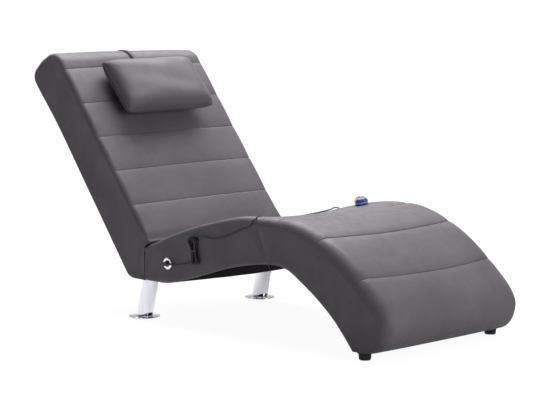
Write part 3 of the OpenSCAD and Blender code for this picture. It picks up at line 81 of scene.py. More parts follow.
def aim_camera():
    """Camera at the photograph's angle, with its slight roll, set by its view directions."""
    az, el, roll = (math.radians(a) for a in VIEW_ANGLES)
    ahead = Vector((-math.sin(az) * math.cos(el), math.cos(az) * math.cos(el), -math.sin(el)))
    level = Vector((math.cos(az), math.sin(az), 0))
    upright = level.cross(ahead)
    right = level * math.cos(roll) + upright * math.sin(roll)
    up = upright * math.cos(roll) - level * math.sin(roll)
    data = bpy.data.cameras.new("photo_camera")
    data.sensor_fit = "HORIZONTAL"
    data.sensor_width = SENSOR_W
    data.lens = SENSOR_W * LENS_PX / PHOTO_PX
    data.clip_end = 60
    camera = add("photo_camera", data)
    spot = Matrix((right, up, -ahead)).transposed().to_4x4()
    spot.translation = VIEW_AIM - VIEW_FAR * ahead
    camera.matrix_world = spot
    bpy.context.scene.camera = camera


aim_camera()


# Shapes as whole arrays

WELD = 2e-5  # points this near to each other become one
# Places of the close rows on both sides of a seam
MARK_OFFSETS = np.array([0.0005, 0.0012, 0.002, 0.003, 0.0045, 0.0065, 0.009])


def seat_x(points):
    """Points in seat measures and millimetres, moved to the frame and turned to metres."""
    return np.asarray(points, float) / 1000 + JOINT


def lengths_along(p):
    """Distance from the first point to each point of a chain."""
    return joined([0], np.cumsum(np.linalg.norm(np.diff(p, axis=0), axis=1)))


def spline(points, steps):
    """Catmull-Rom curve: each span is half of 2b + (c-a)t + (2a-5b+4c-d)t2 + (3b-a-3c+d)t3."""
    p = np.asarray(points, float)
    e = np.vstack([p[:1], p, p[-1:]])
    a, b, c, d = (e[i:len(e) - 3 + i, None, :] for i in range(4))
    t = (np.arange(steps) / steps)[None, :, None]
    curve = (2 * b + (c - a) * t + (2 * a - 5 * b + 4 * c - d) * t ** 2
             + (3 * b - a - 3 * c + d) * t ** 3) / 2
    return np.vstack([curve.reshape(-1, p.shape[1]), p[-1:]])


def joined(*parts):
    """Arrays put end to end."""
    return np.concatenate(parts)


def stacked(*parts):
    """Points from whole arrays of their coordinates."""
    return np.stack(np.broadcast_arrays(*parts), axis=-1)


def upright(flat, y):
    """Points of a side outline, set at Y."""
    return stacked(flat[..., 0], y, flat[..., 1])


def sample(p, at):
    """Points of a chain at the given distances along it."""
    d = lengths_along(p)
    return stacked(*(np.interp(at, d, p[:, k]) for k in range(p.shape[1])))


def even(p, count):
    """A chain of count points, at even distances along another."""
    return sample(p, np.linspace(0, lengths_along(p)[-1], count))


def left_of(v):
    """Each flat direction turned a quarter turn to the left, at length 1."""
    n = stacked(-v[..., 1], v[..., 0])
    return n / np.maximum(np.linalg.norm(n, axis=-1, keepdims=True), 1e-12)


def ramp(value, start, end):
    """A share that goes gently from 0 to 1 while the value goes from start to end."""
    share = np.clip((value - start) / (end - start), 0, 1)
    return share ** 2 * (3 - 2 * share)


def close_marks(high, step, centres):
    """Distances from 0 to high about a step apart, crowded on both sides of each centre."""
    base = np.linspace(0, high, int(round(high / step)) + 1)
    clear = np.abs(base[:, None] - centres[None, :]).min(axis=1) >= MARK_OFFSETS.max() * 1.15
    beside = centres[:, None] + joined(MARK_OFFSETS, -MARK_OFFSETS)[None, :]
    marks = joined(base[clear | (base == 0) | (base == high)], beside.ravel(), centres)
    return np.unique(np.clip(np.round(marks, 6), 0, high))


def nearest_gap(s, centres):
    """Signed distance from the nearest centre to each place."""
    away = s[:, None] - centres[None, :]
    return away[np.arange(len(s)), np.abs(away).argmin(axis=1)]


def grid_quads(rows, cols):
    """Four corners of each cell of a grid of rows by cols points."""
    r, c = np.meshgrid(np.arange(rows - 1), np.arange(cols - 1), indexing="ij")
    first = (r * cols + c).ravel()
    return stacked(first, first + 1, first + cols + 1, first + cols)


def build(name, grids, body, finish, facts=None, sharp=42, closed=True):
    """One welded mesh from grids of points; facts are values at the points, kept as attributes."""
    points = np.concatenate([g.reshape(-1, 3) for g in grids])
    starts = np.cumsum([0] + [g.shape[0] * g.shape[1] for g in grids])
    quads = np.concatenate([grid_quads(*g.shape[:2]) + s for g, s in zip(grids, starts)])
    _, first, spot = np.unique(np.round(points / WELD).astype(np.int64), axis=0,
                               return_index=True, return_inverse=True)
    quads = spot.reshape(-1)[quads]
    keep = quads != np.roll(quads, 1, axis=1)
    full = keep.sum(axis=1) > 2
    corners, sizes = quads[full][keep[full]], keep[full].sum(axis=1)
    begins = joined([0], np.cumsum(sizes)[:-1])
    mesh = bpy.data.meshes.new(name)
    mesh.vertices.add(len(first))
    mesh.vertices.foreach_set("co", points[first].astype(np.float32).ravel())
    mesh.loops.add(len(corners))
    mesh.loops.foreach_set("vertex_index", corners.astype(np.int32))
    mesh.polygons.add(len(sizes))
    mesh.polygons.foreach_set("loop_start", begins.astype(np.int32))
    mesh.polygons.foreach_set("use_smooth", np.ones(len(sizes), bool))
    for fact, values in (facts or {}).items():
        v = np.concatenate([x.reshape(-1, *x.shape[2:]) for x in values])[first]
        kind, key = ("FLOAT", "value") if v.ndim == 1 else ("FLOAT_VECTOR", "vector")
        attribute = mesh.attributes.new(fact, kind, "POINT")
        attribute.data.foreach_set(key, v.astype(np.float32).ravel())
    mesh.update(calc_edges=True)
    mesh.validate()
    if closed:
        shell = bmesh.new()
        shell.from_mesh(mesh)
        bmesh.ops.recalc_face_normals(shell, faces=shell.faces)
        shell.to_mesh(mesh)
        shell.free()
    mesh.set_sharp_from_angle(angle=math.radians(sharp))
    mesh.materials.append(finish)
    piece = add(name, mesh)
    if body:
        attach(piece, body)
    return piece


def tube_grid(path, radius, sides=12):
    """Capped rings round a chain: the first cross direction is carried along, square to it."""
    p = np.asarray(path, float)
    t = np.gradient(p, axis=0)
    t /= np.linalg.norm(t, axis=1, keepdims=True)
    side = np.array([0.0, 1.0, 0.0]) if abs(t[0, 1]) < 0.9 else np.array([1.0, 0.0, 0.0])
    frames = []
    for way in t:
        side = side - way * (side @ way)
        side /= np.linalg.norm(side)
        frames.append(side)
    a = np.array(frames)
    b = np.cross(t, a)
    turn = full_turn(sides)
    r = np.broadcast_to(np.asarray(radius, float), (len(p),))[:, None, None]
    rings = p[:, None, :] + r * (a[:, None, :] * np.cos(turn)[None, :, None]
                                 + b[:, None, :] * np.sin(turn)[None, :, None])
    first, last = (np.repeat(p[k][None, None, :], sides + 1, axis=1) for k in (0, -1))
    return joined(first, rings, last)


def full_turn(sides):
    """Angles of one turn whose last is the first again."""
    return joined(np.linspace(0, 2 * math.pi, sides + 1)[:-1], [0])


def lathe_grid(profile, centre, sides):
    """Radius and height pairs turned round an upright line through the centre."""
    q = np.asarray(profile, float)
    turn = full_turn(sides)
    return stacked(centre[0] + q[:, :1] * np.cos(turn), centre[1] + q[:, :1] * np.sin(turn),
                   centre[2] + q[:, 1:])


# Shader values and nodes

class Value:
    """A shader value: sums, products and ranges of values become nodes of its tree."""

    def __init__(self, tree, socket):
        self.tree, self.socket = tree, socket

    def __add__(self, other):
        return maths("ADD", self, other)

    def __sub__(self, other):
        return maths("SUBTRACT", self, other)

    def __rsub__(self, other):
        return maths("SUBTRACT", other, self)

    def __mul__(self, other):
        return maths("MULTIPLY", self, other)

    def __truediv__(self, other):
        return maths("DIVIDE", self, other)

    def __abs__(self):
        return maths("ABSOLUTE", self)

    def spread(self, low, high, to_low=0.0, to_high=1.0):
        """Smooth change from to_low to to_high while the value goes from low to high."""
        return of_node(self.tree, "ShaderNodeMapRange", {"interpolation_type": "SMOOTHSTEP"},
                       Value=self, From_Min=low, From_Max=high, To_Min=to_low, To_Max=to_high)

    def mix(self, first, second):
        """The first colour where the value is 0, and the second where it is 1."""
        return of_node(self.tree, "ShaderNodeMixRGB", Fac=self, Color1=first, Color2=second)

    def parts(self):
        """The three parts of a vector value."""
        split = node(self.tree, "ShaderNodeSeparateXYZ", Vector=self)
        return [Value(self.tree, socket) for socket in split.outputs]


def node(tree, kind, settings=None, **inputs):
    """A shader node: inputs are constants or Values, by name, or by number as i0, i1 and on."""
    made = tree.nodes.new(kind)
    for key, value in (settings or {}).items():
        setattr(made, key, value)
    for key, value in inputs.items():
        numbered = key[0] == "i" and key[1:].isdigit()
        target = made.inputs[int(key[1:]) if numbered else key.replace("_", " ")]
        if isinstance(value, Value):
            tree.links.new(value.socket, target)
        else:
            target.default_value = value
    return made


def of_node(tree, kind, settings=None, output=0, **inputs):
    """The value that a new node gives out."""
    return Value(tree, node(tree, kind, settings, **inputs).outputs[output])


def maths(operation, *values):
    tree = next(v.tree for v in values if isinstance(v, Value))
    return of_node(tree, "ShaderNodeMath", {"operation": operation},
                   **{f"i{k}": v for k, v in enumerate(values)})


def noise(where, scale, detail=3.0, rough=0.5):
    return of_node(where.tree, "ShaderNodeTexNoise", Vector=where, Scale=scale, Detail=detail,
                   Roughness=rough)


def cells(where, scale, feature="F1"):
    return of_node(where.tree, "ShaderNodeTexVoronoi", {"feature": feature}, "Distance",
                   Vector=where, Scale=scale)


def stretched(where, size):
    return of_node(where.tree, "ShaderNodeMapping", Vector=where, Scale=size)


def attribute(where, name, output):
    return of_node(where.tree, "ShaderNodeAttribute", {"attribute_name": name}, output)


def srgb(*levels):
    """A colour from screen levels of 0 to 255."""
    c = [v / 255 for v in levels]
    return tuple(v / 12.92 if v < 0.04045 else ((v + 0.055) / 1.055) ** 2.4 for v in c) + (1.0,)


def shade(colour, share):
    """A colour at a share of its brightness."""
    return tuple(v * share for v in colour[:3]) + (1.0,)


def start(name, roughness=0.5, metallic=0.0, **sockets):
    """A new material, with constant values on the shader's own sockets, and its Object place."""
    material = bpy.data.materials.new(name)
    material.use_nodes = True
    tree = material.node_tree
    constants = {"Roughness": roughness, "Metallic": metallic, **sockets}
    for key, value in constants.items():
        tree.nodes["Principled BSDF"].inputs[key.replace("_", " ")].default_value = value
    return material, of_node(tree, "ShaderNodeTexCoord", output="Object")


def two_tone(value, colour, share, low=0.3, high=0.7):
    """A colour that falls to a share of its brightness while the value goes from low to high."""
    return value.spread(low, high).mix(colour, shade(colour, share))


def dress(material, colour, roughness, heights, strength):
    """Links a material's colour and roughness, and lays bumps on each other: pairs of a height
    value and its distance in metres."""
    tree = material.node_tree
    ends = tree.nodes["Principled BSDF"].inputs
    below = {}
    for height, distance in heights:
        bump = of_node(tree, "ShaderNodeBump", Strength=strength, Distance=distance,
                       Height=height, **below)
        below = {"Normal": bump}
    for end, value in (("Base Color", colour), ("Roughness", roughness), ("Normal", bump)):
        tree.links.new(value.socket, ends[end])
    return material


# Finishes

THREAD_OFF = 0.0052  # from the seam to its row of stitches
STITCH_STEP = 0.0062
NEAR_SHADOW_SPAN = (-0.0022, -0.0012)  # Y over which a painted shadow on the -Y side gives way to the unshadowed colour


def upholstery(name, dark, light, roughness=0.42):
    """Coated cloth: pebbled grain, broad mottling, painted shade in the seam grooves, thread
    stitches and rubbed edges.  Its stitch attribute holds the distance off a seam, the place along
    it and a share."""
    material, where = start(name, roughness, Specular_IOR_Level=0.3)
    pebble = cells(where, 620.0, "DISTANCE_TO_EDGE").spread(0.0, 0.35)
    fine = noise(where, 1500.0, 2.0)
    broad = noise(where, 7.0, 4.0, 0.6)
    cloudy = noise(where, 42.0)
    rub = attribute(where, "rub", "Fac")
    off, run, near = attribute(where, "stitch", "Vector").parts()
    # Painted shade: the narrow groove of each seam is darkened as if shaded.
    groove_shade = abs(off).spread(0.0005, 0.0021, 1.0, 0.0) * near
    row = abs(abs(off) - THREAD_OFF).spread(0.0003, 0.0007, 1.0, 0.0)
    beat = maths("FRACT", run / STITCH_STEP)
    thread = row * abs(beat - 0.5).spread(0.30, 0.38, 1.0, 0.0) * near
    base = broad.spread(0.3, 0.7).mix(dark, light)
    for share, colour in ((cloudy.spread(0.35, 0.7) * 0.12, shade(dark, 0.8)),
                          ((1.0 - pebble) * 0.22, shade(dark, 0.6)),
                          (rub * 0.08, shade(light, 1.45)),
                          (groove_shade * 0.55, shade(dark, 0.3)),
                          (thread * 0.5, shade(dark, 0.62))):
        base = share.mix(base, colour)
    worn = cloudy.spread(0.3, 0.7, roughness - 0.05, roughness + 0.08) - rub * 0.06
    return dress(material, base, worn + pebble * -0.04,
                 [(pebble, 0.00022), (fine, 0.00008), (cloudy, 0.0011), (thread, 0.0006)], 0.55)


def chrome_finish(name):
    """Polished plating: mirror metal with faint wiping marks and a slightly uneven skin."""
    material, where = start(name, 0.07, 1.0)
    smear = noise(stretched(where, (30.0, 30.0, 6.0)), 1.0, 4.0, 0.6)
    speck = noise(where, 900.0, 2.0)
    return dress(material, smear.spread(0.35, 0.75).mix(srgb(232, 232, 238), srgb(214, 214, 226)),
                 smear.spread(0.4, 0.8, 0.05, 0.11) + speck * 0.03,
                 [(smear, 0.0004), (speck, 0.00003)], 0.3)


def metal_finish(name, colour, roughness=0.34):
    """Turned and plated steel: fine drawn lines, with duller patches."""
    material, where = start(name, roughness, 1.0)
    lines = noise(stretched(where, (90.0, 90.0, 2600.0)), 1.0, 3.0, 0.7)
    patch = noise(where, 60.0, 4.0)
    return dress(material, two_tone(patch, colour, 0.78, 0.35),
                 patch.spread(0.3, 0.75, roughness - 0.08, roughness + 0.14),
                 [(lines, 0.00006), (patch, 0.0002)], 0.4)


def plastic_finish(name, colour, roughness=0.42, grain=1100.0, specular=0.5, coat=0.0):
    """Moulded plastic: spark-eroded grain, faint flow clouds and handling shine."""
    material, where = start(name, roughness, Specular_IOR_Level=specular, Coat_Weight=coat,
                            Coat_Roughness=0.12)
    pit = noise(where, grain, 2.0)
    flow = noise(where, 26.0)
    return dress(material, two_tone(flow, colour, 0.84, 0.3, 0.75),
                 flow.spread(0.3, 0.7, roughness - 0.07, roughness + 0.07),
                 [(pit, 0.00012), (flow, 0.0003)], 0.35)


def woven_finish(name, dark, light, pitch, roughness=0.8, sheen=0.25, specular=0.5, unshadowed_colour=None):
    """Plain weave: two crossed sets of ribs, with fuzz and worn patches.  With an unshadowed
    colour, the weave on the -Y side is a painted shadow, and that colour is the cloth's own from
    the mid line on."""
    material, where = start(name, roughness, Sheen_Weight=sheen, Sheen_Roughness=0.5,
                            Specular_IOR_Level=specular)
    x, y, z = where.parts()
    turn = 2 * math.pi / pitch
    along = maths("SINE", (x + z * 0.8) * turn)
    weave = (along * maths("SINE", y * turn)).spread(-1.0, 1.0)
    fuzz = noise(where, 800.0)
    patch = noise(where, 12.0)
    base = (patch.spread(0.4, 0.7) * 0.35).mix(weave.mix(dark, light), dark)
    # Painted shadow: the -Y side keeps the dark weave, and the rest takes the unshadowed colour.
    if unshadowed_colour:
        base = y.spread(*NEAR_SHADOW_SPAN).mix(base, unshadowed_colour)
    return dress(material, base,
                 fuzz.spread(0.3, 0.7, roughness - 0.08, min(1.0, roughness + 0.1)),
                 [(weave, 0.0003), (fuzz, 0.0002)], 0.6)


def timber_finish(name):
    """Sawn softwood: long growth rings across a stretched noise, with pores and paler flecks."""
    material, where = start(name, 0.62, Specular_IOR_Level=0.3)
    rings = of_node(where.tree, "ShaderNodeTexWave",
                    {"wave_type": "BANDS", "bands_direction": "Z"}, "Fac",
                    Vector=stretched(where, (5.0, 60.0, 60.0)), Scale=1.4, Distortion=7.0,
                    Detail=3.0)
    pores = noise(stretched(where, (40.0, 900.0, 900.0)), 1.0)
    base = (pores.spread(0.45, 0.7) * 0.4).mix(rings.mix(srgb(206, 170, 122), srgb(172, 130, 84)),
                                               srgb(132, 96, 60))
    return dress(material, base, pores.spread(0.3, 0.7, 0.52, 0.74),
                 [(rings, 0.0003), (pores, 0.0003)], 0.5)


def foam_finish(name, colour):
    """Cut foam: open pores and slight yellowing."""
    material, where = start(name, 0.9, Subsurface_Weight=0.05)
    pores = cells(where, 420.0)
    aged = noise(where, 9.0)
    base = two_tone(aged, colour, 0.86)
    return dress(material, pores.spread(0.25, 0.0, 0.0, 0.5).mix(base, shade(colour, 0.5)),
                 aged.spread(0.3, 0.7, 0.84, 0.96), [(pores, 0.0012)], 0.7)


def board_finish(name):
    """Printed board: green lacquer, paler copper tracks and solder freckles."""
    material, where = start(name, 0.34, Coat_Weight=0.3, Coat_Roughness=0.15)
    tracks = node(where.tree, "ShaderNodeTexBrick", Vector=stretched(where, (160.0, 160.0, 160.0)),
                  Scale=1.0, Mortar_Size=0.06, Color1=srgb(20, 84, 46), Color2=srgb(24, 96, 52),
                  Mortar=srgb(58, 140, 80)).outputs
    lacquer, line = (Value(where.tree, tracks[key]) for key in ("Color", "Fac"))
    solder = cells(where, 300.0)
    dots = solder.spread(0.1, 0.16, 1.0, 0.0)
    return dress(material, dots.mix(lacquer, srgb(188, 190, 186)),
                 solder.spread(0.0, 0.5, 0.26, 0.44), [(dots, 0.0003), (line, 0.0001)], 0.5)


leather = upholstery("grey_coated_cloth", srgb(120, 114, 120), srgb(132, 126, 132))
welt_leather = upholstery("grey_welt", srgb(116, 110, 116), srgb(128, 122, 128), 0.46)
chrome = chrome_finish("polished_chrome")
black_plastic = plastic_finish("black_moulding", srgb(30, 29, 31), 0.44)
black_rubber = plastic_finish("black_lead_rubber", srgb(20, 20, 22), 0.38, 700.0, 0.45)
# The strap's dark weave colours paint the shadow on its near side; the grey is the strap's own
# colour.
strap_cloth = woven_finish("strap_webbing_painted_shadow", srgb(20, 18, 22), srgb(36, 33, 38), 0.0016, 0.7,
                           0.05, 0.3, srgb(112, 107, 113))
dust_cloth = woven_finish("black_dust_cloth", srgb(8, 7, 10), srgb(17, 15, 19), 0.0022, 0.9, 0.0,
                          0.06)
blue_shell = plastic_finish("blue_handset_shell", srgb(58, 84, 176), 0.26, 1300.0, 0.5, 0.5)
pale_shell = plastic_finish("pale_handset_shell", srgb(170, 192, 236), 0.34, 1300.0, 0.5, 0.2)

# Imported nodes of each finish
CARRIED = {
    leather: "seat_cover backrest_cover pillow_cover",
    chrome: "near_leg_tube far_leg_tube near_leg_base far_leg_base",
    black_plastic: "socket_body",
    black_rubber: "lead_plug lead_near lead_hank lead_far handset_strain_relief wiring_harness",
    strap_cloth: "pillow_strap strap_anchor",
    dust_cloth: "seat_dust_cover",
    blue_shell: "handset_upper_shell",
    pale_shell: "handset_lower_shell",
    foam_finish("cut_foam", srgb(226, 206, 150)): "seat_foam backrest_foam",
    foam_finish("pillow_fill_fibre", srgb(236, 234, 226)): "pillow_fill",
    timber_finish("sawn_frame_timber"):
        "seat_near_rail seat_far_rail seat_cross_rails backrest_near_rail backrest_far_rail "
        "backrest_cross_rails leg_blocks",
    woven_finish("jute_webbing", srgb(94, 62, 36), srgb(146, 106, 66), 0.0044, 0.88, 0.1):
        "seat_webbing backrest_webbing",
    woven_finish("heating_felt", srgb(196, 190, 182), srgb(226, 222, 214), 0.0034, 0.9, 0.2):
        "heating_pad",
    metal_finish("zinc_plated_steel", srgb(176, 178, 180)):
        "joining_bolts joining_nuts leg_mount_plates leg_studs foot_screws motor_cans socket_nut",
    metal_finish("satin_ring_plating", srgb(244, 244, 246), 0.2): "socket_ring",
    metal_finish("weight_brass", srgb(196, 164, 96), 0.3):
        "near_shoulder_rotor far_shoulder_rotor near_lumbar_rotor far_lumbar_rotor thigh_rotor "
        "calf_rotor",
    plastic_finish("black_foot_moulding", srgb(28, 26, 30), 0.5, 500.0): "front_feet leg_glides",
    plastic_finish("motor_pod_moulding", srgb(44, 44, 48), 0.5): "motor_pods motor_pod_lids",
    plastic_finish("control_box_moulding", srgb(70, 70, 74), 0.48): "control_box control_box_lid",
    plastic_finish("black_tie_moulding", srgb(24, 24, 26), 0.4): "hank_tie",
    plastic_finish("red_key_moulding", srgb(196, 40, 40), 0.36): "power_button",
    plastic_finish("orange_key_moulding", srgb(232, 138, 44), 0.36): "heat_button",
    plastic_finish("white_key_moulding", srgb(232, 232, 234), 0.36):
        "mode_button faster_button slower_button",
    board_finish("green_circuit_board"): "control_board handset_board",
}
for finish, names in CARRIED.items():
    for name in names.split():
        for place in nodes[name].material_slots:
            place.material = finish


# Lead: its free runs are chosen points in seat measures and millimetres

HANK_TURNS = 4
HANK_MID = (0.225, 0.241)
HANK_HALF = 0.043  # of its length, along the tilted line
HANK_TILT = math.radians(10)
HANK_TOP_W, HANK_LOW_W, HANK_WAIST = 0.047, 0.032, 0.0104
HANK_STEP, HANK_GAP = 0.0046, 0.0003  # from turn to turn, and off the seat's side
HANK_BEGIN, HANK_PITCH = -105.0, 15.0  # degrees at the first point and from point to point
CROWDED = [52, 53, 57, 58]  # points of a fold that stand too near to each other
NEAR_ROUTE = [
    [129.5, -309.8, 189.2], [140.7, -309.2, 189.5], [151.9, -308.6, 190.8], [163.0, -308.0, 192.6],
    [174.0, -307.6, 194.8], [185.0, -307.1, 197.4], [195.7, -306.3, 200.7], [205.7, -305.3, 205.8],
    [213.8, -304.4, 213.5],
]
FAR_ROUTE = [
    [247.5, -308.0, 289.4], [274.2, -306.5, 287.2], [300.9, -305.5, 285.7], [327.6, -304.9, 289.8],
    [353.7, -304.9, 296.5], [378.7, -305.0, 306.5], [403.4, -305.0, 317.3], [428.3, -304.9, 327.6],
    [453.5, -305.1, 337.2], [466.0, -305.4, 346.0], [472.9, -306.0, 355.2], [474.5, -297.0, 362.6],
    [468.3, -283.7, 364.8], [460.2, -258.2, 363.1], [444.1, -237.0, 358.8], [429.7, -214.7, 354.2],
    [416.3, -191.8, 349.5], [404.1, -168.1, 345.3], [393.1, -143.8, 341.6], [382.9, -119.1, 338.3],
    [373.2, -94.0, 335.3], [364.3, -68.7, 332.8], [356.1, -43.1, 330.6], [348.1, -17.5, 328.7],
    [340.0, 8.1, 327.0], [331.9, 33.8, 325.5], [324.0, 59.5, 324.2], [315.8, 85.2, 323.0],
    [307.4, 110.8, 321.9], [298.8, 136.3, 321.0], [290.0, 161.8, 320.1], [281.4, 187.4, 319.4],
    [272.6, 212.9, 318.9], [264.1, 238.5, 318.5], [258.5, 264.4, 319.8], [257.8, 284.0, 323.2],
    [262.5, 299.0, 320.6], [271.5, 305.3, 313.0], [283.5, 306.6, 310.0], [296.5, 310.5, 315.0],
    [308.5, 315.2, 325.5], [320.0, 318.6, 337.5], [331.0, 317.5, 347.0], [338.8, 312.8, 351.5],
    [343.9, 307.3, 352.5],
]


def hank_points():
    """Four hourglass loops: they spiral in by a step a turn, cross to a second layer and spiral
    out again."""
    span = 360.0 * HANK_TURNS
    t = np.arange(HANK_BEGIN, span + 1, HANK_PITCH)

    def loop(at):
        c, s = np.cos(np.radians(at)), np.sin(np.radians(at))
        wide = np.where(c > 0, HANK_TOP_W, HANK_LOW_W)
        return stacked(s * (HANK_WAIST + (wide - HANK_WAIST) * c * c), HANK_HALF * c)

    inward = HANK_STEP * np.where(t < span / 2, t, span - t) / 360
    crossing = np.clip((t - span / 2) / 90, -1, 1)
    layer = (1 + np.sin(np.radians(90 * crossing))) / 2
    q = loop(t) - inward[:, None] * left_of(loop(t + 1) - loop(t - 1))
    c, s = math.cos(HANK_TILT), math.sin(HANK_TILT)
    return stacked(HANK_MID[0] + q[:, 0] * c - q[:, 1] * s,
                   -SEAT_W / 2 - HANK_GAP - LEAD_D / 2 - HANK_STEP * layer,
                   HANK_MID[1] + q[:, 0] * s + q[:, 1] * c) + JOINT


def lay_lead():
    """One curve from the plug through the hank to the handset, smooth by handles a third of each
    span long.  In the hank the points that crowd a fold are left out, and each other one moves
    half way to the middle of its neighbours, so the folds are round."""
    hank = np.delete(hank_points(), CROWDED, axis=0)
    hank[1:-1] = hank[1:-1] / 2 + (hank[:-2] + hank[2:]) / 4
    route = np.vstack([seat_x(NEAR_ROUTE), hank, seat_x(FAR_ROUTE)])
    ahead = np.diff(route, axis=0)
    span = np.linalg.norm(ahead, axis=1)
    way = ahead / span[:, None]
    turn = np.vstack([way[:1], way[:-1] * span[1:, None] + way[1:] * span[:-1, None], way[-1:]])
    turn /= np.linalg.norm(turn, axis=1, keepdims=True)
    before = joined(span[:1], span)[:, None] / 3
    after = joined(span, span[-1:])[:, None] / 3
    data = bpy.data.curves.new("handset_lead", "CURVE")
    data.dimensions = "3D"
    data.bevel_depth = LEAD_D / 2
    data.bevel_resolution = 4
    data.resolution_u = 5
    data.use_fill_caps = True
    line = data.splines.new("BEZIER")
    line.bezier_points.add(len(route) - 1)
    line.bezier_points.foreach_set("co", route.ravel())
    line.bezier_points.foreach_set("handle_left", (route - before * turn).ravel())
    line.bezier_points.foreach_set("handle_right", (route + after * turn).ravel())
    data.materials.append(black_rubber)
    lead = add("handset_lead", data)
    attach(lead, "chair")
    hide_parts("lead_near", "lead_hank", "lead_far")


lay_lead()


# Padded pieces: what seat and backrest share

EDGE_TURNS = np.linspace(0, math.pi / 2, 11)
FLAT_COLUMNS = 45
THREAD_W = 0.0012  # of a seam's groove
STITCHED = 0.013  # reach of the stitches from a seam
WELT_R, WELT_IN = 0.0013, 0.0006  # of the piping, and its depth in the side


def widths_of(radius, half):
    """Y of each column and its drop: quarter rounds of the radius at both edges, flat between."""
    r = np.asarray(radius)[:, None]
    turned = half - r * (1 - np.cos(EDGE_TURNS))[None, :]
    fall = r * (1 - np.sin(EDGE_TURNS))[None, :]
    share = np.linspace(-1, 1, FLAT_COLUMNS + 2)[1:-1][None, :]
    flat = share * (half - r)
    y = np.concatenate([-turned, flat, turned[:, ::-1]], axis=1)
    drop = np.concatenate([fall, np.zeros_like(flat), fall[:, ::-1]], axis=1)
    return y, drop


def puckers(along, away):
    """Small gathers that die out away from a seam: two crossed waves of uneven pitch."""
    return np.exp(-np.abs(away) / 0.016) * (np.sin(along * 150 + 2.2 * np.sin(along * 23))
                                            + 0.6 * np.sin(along * 311 + 1.7 * np.sin(along * 31)))


def seamed(gap, y, pull, reach, groove, gather, shift):
    """Rise beside a seam, from its distance: a pull that fades over its reach, a narrow groove
    for the thread, and gathers that shift from one side of it to the other."""
    gap = gap[:, None]
    return (gather * puckers(y + shift * np.sign(gap), gap)
            - pull * np.exp(-np.abs(gap) / reach) - groove * np.exp(-(gap / THREAD_W) ** 2))


def stitch_facts(gap, y, open_, weight):
    """Distance off the seam, place along it, and how far the thread and the painted shade of its
    groove show.
    """
    gap = gap[:, None]
    return stacked(gap, y, weight * (np.abs(gap) < STITCHED) * open_.clip(0, 1))


def rubbed(drop, radius):
    """Wear of a rounded edge, most at a third of its drop."""
    return np.exp(-((drop / radius[:, None] - 0.35) / 0.25) ** 2) * (drop > 0)


def with_sides(loop, facts, above, below, half, columns, waves, worn, dip=lambda x, z: 0):
    """A padded loop with its two side panels, each ruled between the edge lines above and below.
    Two waves, as height and counts by X and Z, ripple a panel, and its upper edge is worn.  The
    panels' facts are added to the loop's."""
    share = np.linspace(0, 1, columns)[None, :]
    bulge = np.sin(math.pi * share)
    grids = [loop]
    for column, sign in ((0, -1), (-1, 1)):
        a, b = above[:, column][:, None, :], below[:, column][:, None, :]
        panel = a * (1 - share[..., None]) + b * share[..., None]
        x, z = panel[..., 0], panel[..., 2]
        ripple = sum(high * (1 + np.sin(x * by_x + z * by_z)) * bulge ** power
                     for power, (high, by_x, by_z) in enumerate(waves, 1))
        panel[..., 1] = sign * (half - ripple - dip(x, z) * np.minimum(1, share * 8))
        grids.append(panel)
        facts["stitch"].append(np.zeros(panel.shape))
        facts["rub"].append(np.exp(-(share / worn) ** 2) * np.ones((len(above), 1)))
    return [g + JOINT for g in grids]


def welt(name, line, body="chair", radius=WELT_R):
    build(name, [tube_grid(line, radius, 10)], body, welt_leather)


def side_welts(name, lines, half, count):
    """Welts along both side edges of a padded piece."""
    for side, column, sign in (("near", 0, -1), ("far", -1, 1)):
        edge = lines[:, column] + JOINT
        edge[:, 1] = sign * (half - WELT_IN)
        welt(f"{name}_{side}_welt", even(edge, count))


# Seat

def heights(shares, high):
    """Side outline from shares of the seat's run and of its height above the feet."""
    q = np.asarray(shares)
    return stacked(q[:, 0] * SEAT_RUN, FOOT_H + q[:, 1] * (high - FOOT_H))


SEAT_TOP = spline(heights([
    [0, 0.606], [0.06, 0.663], [0.175, 0.783], [0.29, 0.883], [0.387, 0.948], [0.47, 0.984],
    [0.544, 0.996], [0.62, 0.983], [0.7, 0.925], [0.78, 0.818], [0.86, 0.668], [0.925, 0.509],
    [0.97, 0.375], [0.991, 0.25], [0.98, 0.125], [0.955, 0.045], [0.928, 0.01], [0.9, 0],
], CREST_H), 8)
SEAT_UNDER = spline(heights([
    [0, 0.498], [0.06, 0.5], [0.12, 0.531], [0.222, 0.653], [0.367, 0.864], [0.47, 0.962],
    [0.545, 1], [0.6, 0.962], [0.65, 0.836], [0.721, 0.62], [0.79, 0.357], [0.858, 0],
], ARCH_H), 5)
SEAT_LEN = lengths_along(SEAT_TOP)[-1]
SEAT_SEAMS = np.array([0.462, 0.602, 0.751]) * SEAT_LEN
SEAT_EDGE_R, SEAT_CROWN_H, SEAT_DISH_H, SEAT_BOW = 0.032, 0.005, 0.018, 0.027
UNDER_R, JOINT_R, EDGE_RISE = 0.010, 0.004, 0.006
OUT_STEP, CREASE_RUN = 0.009, 0.032  # for the slope of the top, and of its upright start
SEAT_SEAM = dict(pull=0.0038, reach=0.014, groove=0.0014, gather=0.00042, shift=0.01)
SEAT_WAVES = ((0.0011, 27, 16), (0.0006, 61, -33))
SEAT_EDGES = np.array([[0, 0.4], [0.29, 0.5], [0.41, 0.75], [0.505, 1], [0.757, 1.2], [0.9, 1.2],
                       [1, 0.6]])
SEAT_DISH = np.array([[0, 0], [0.097, 0.35], [0.214, 0.85], [0.291, 1], [0.335, 1], [0.376, 0.67],
                      [0.433, 0.28], [0.466, 0], [1, 0]])
SEAT_CROWN = np.array([[0, 0], [0.39, 0], [0.485, 0.6], [0.602, 1], [1, 1]])
CREASE_H = SEAT_TOP[0, 1]
BASE_H = SEAT_UNDER[0, 1]
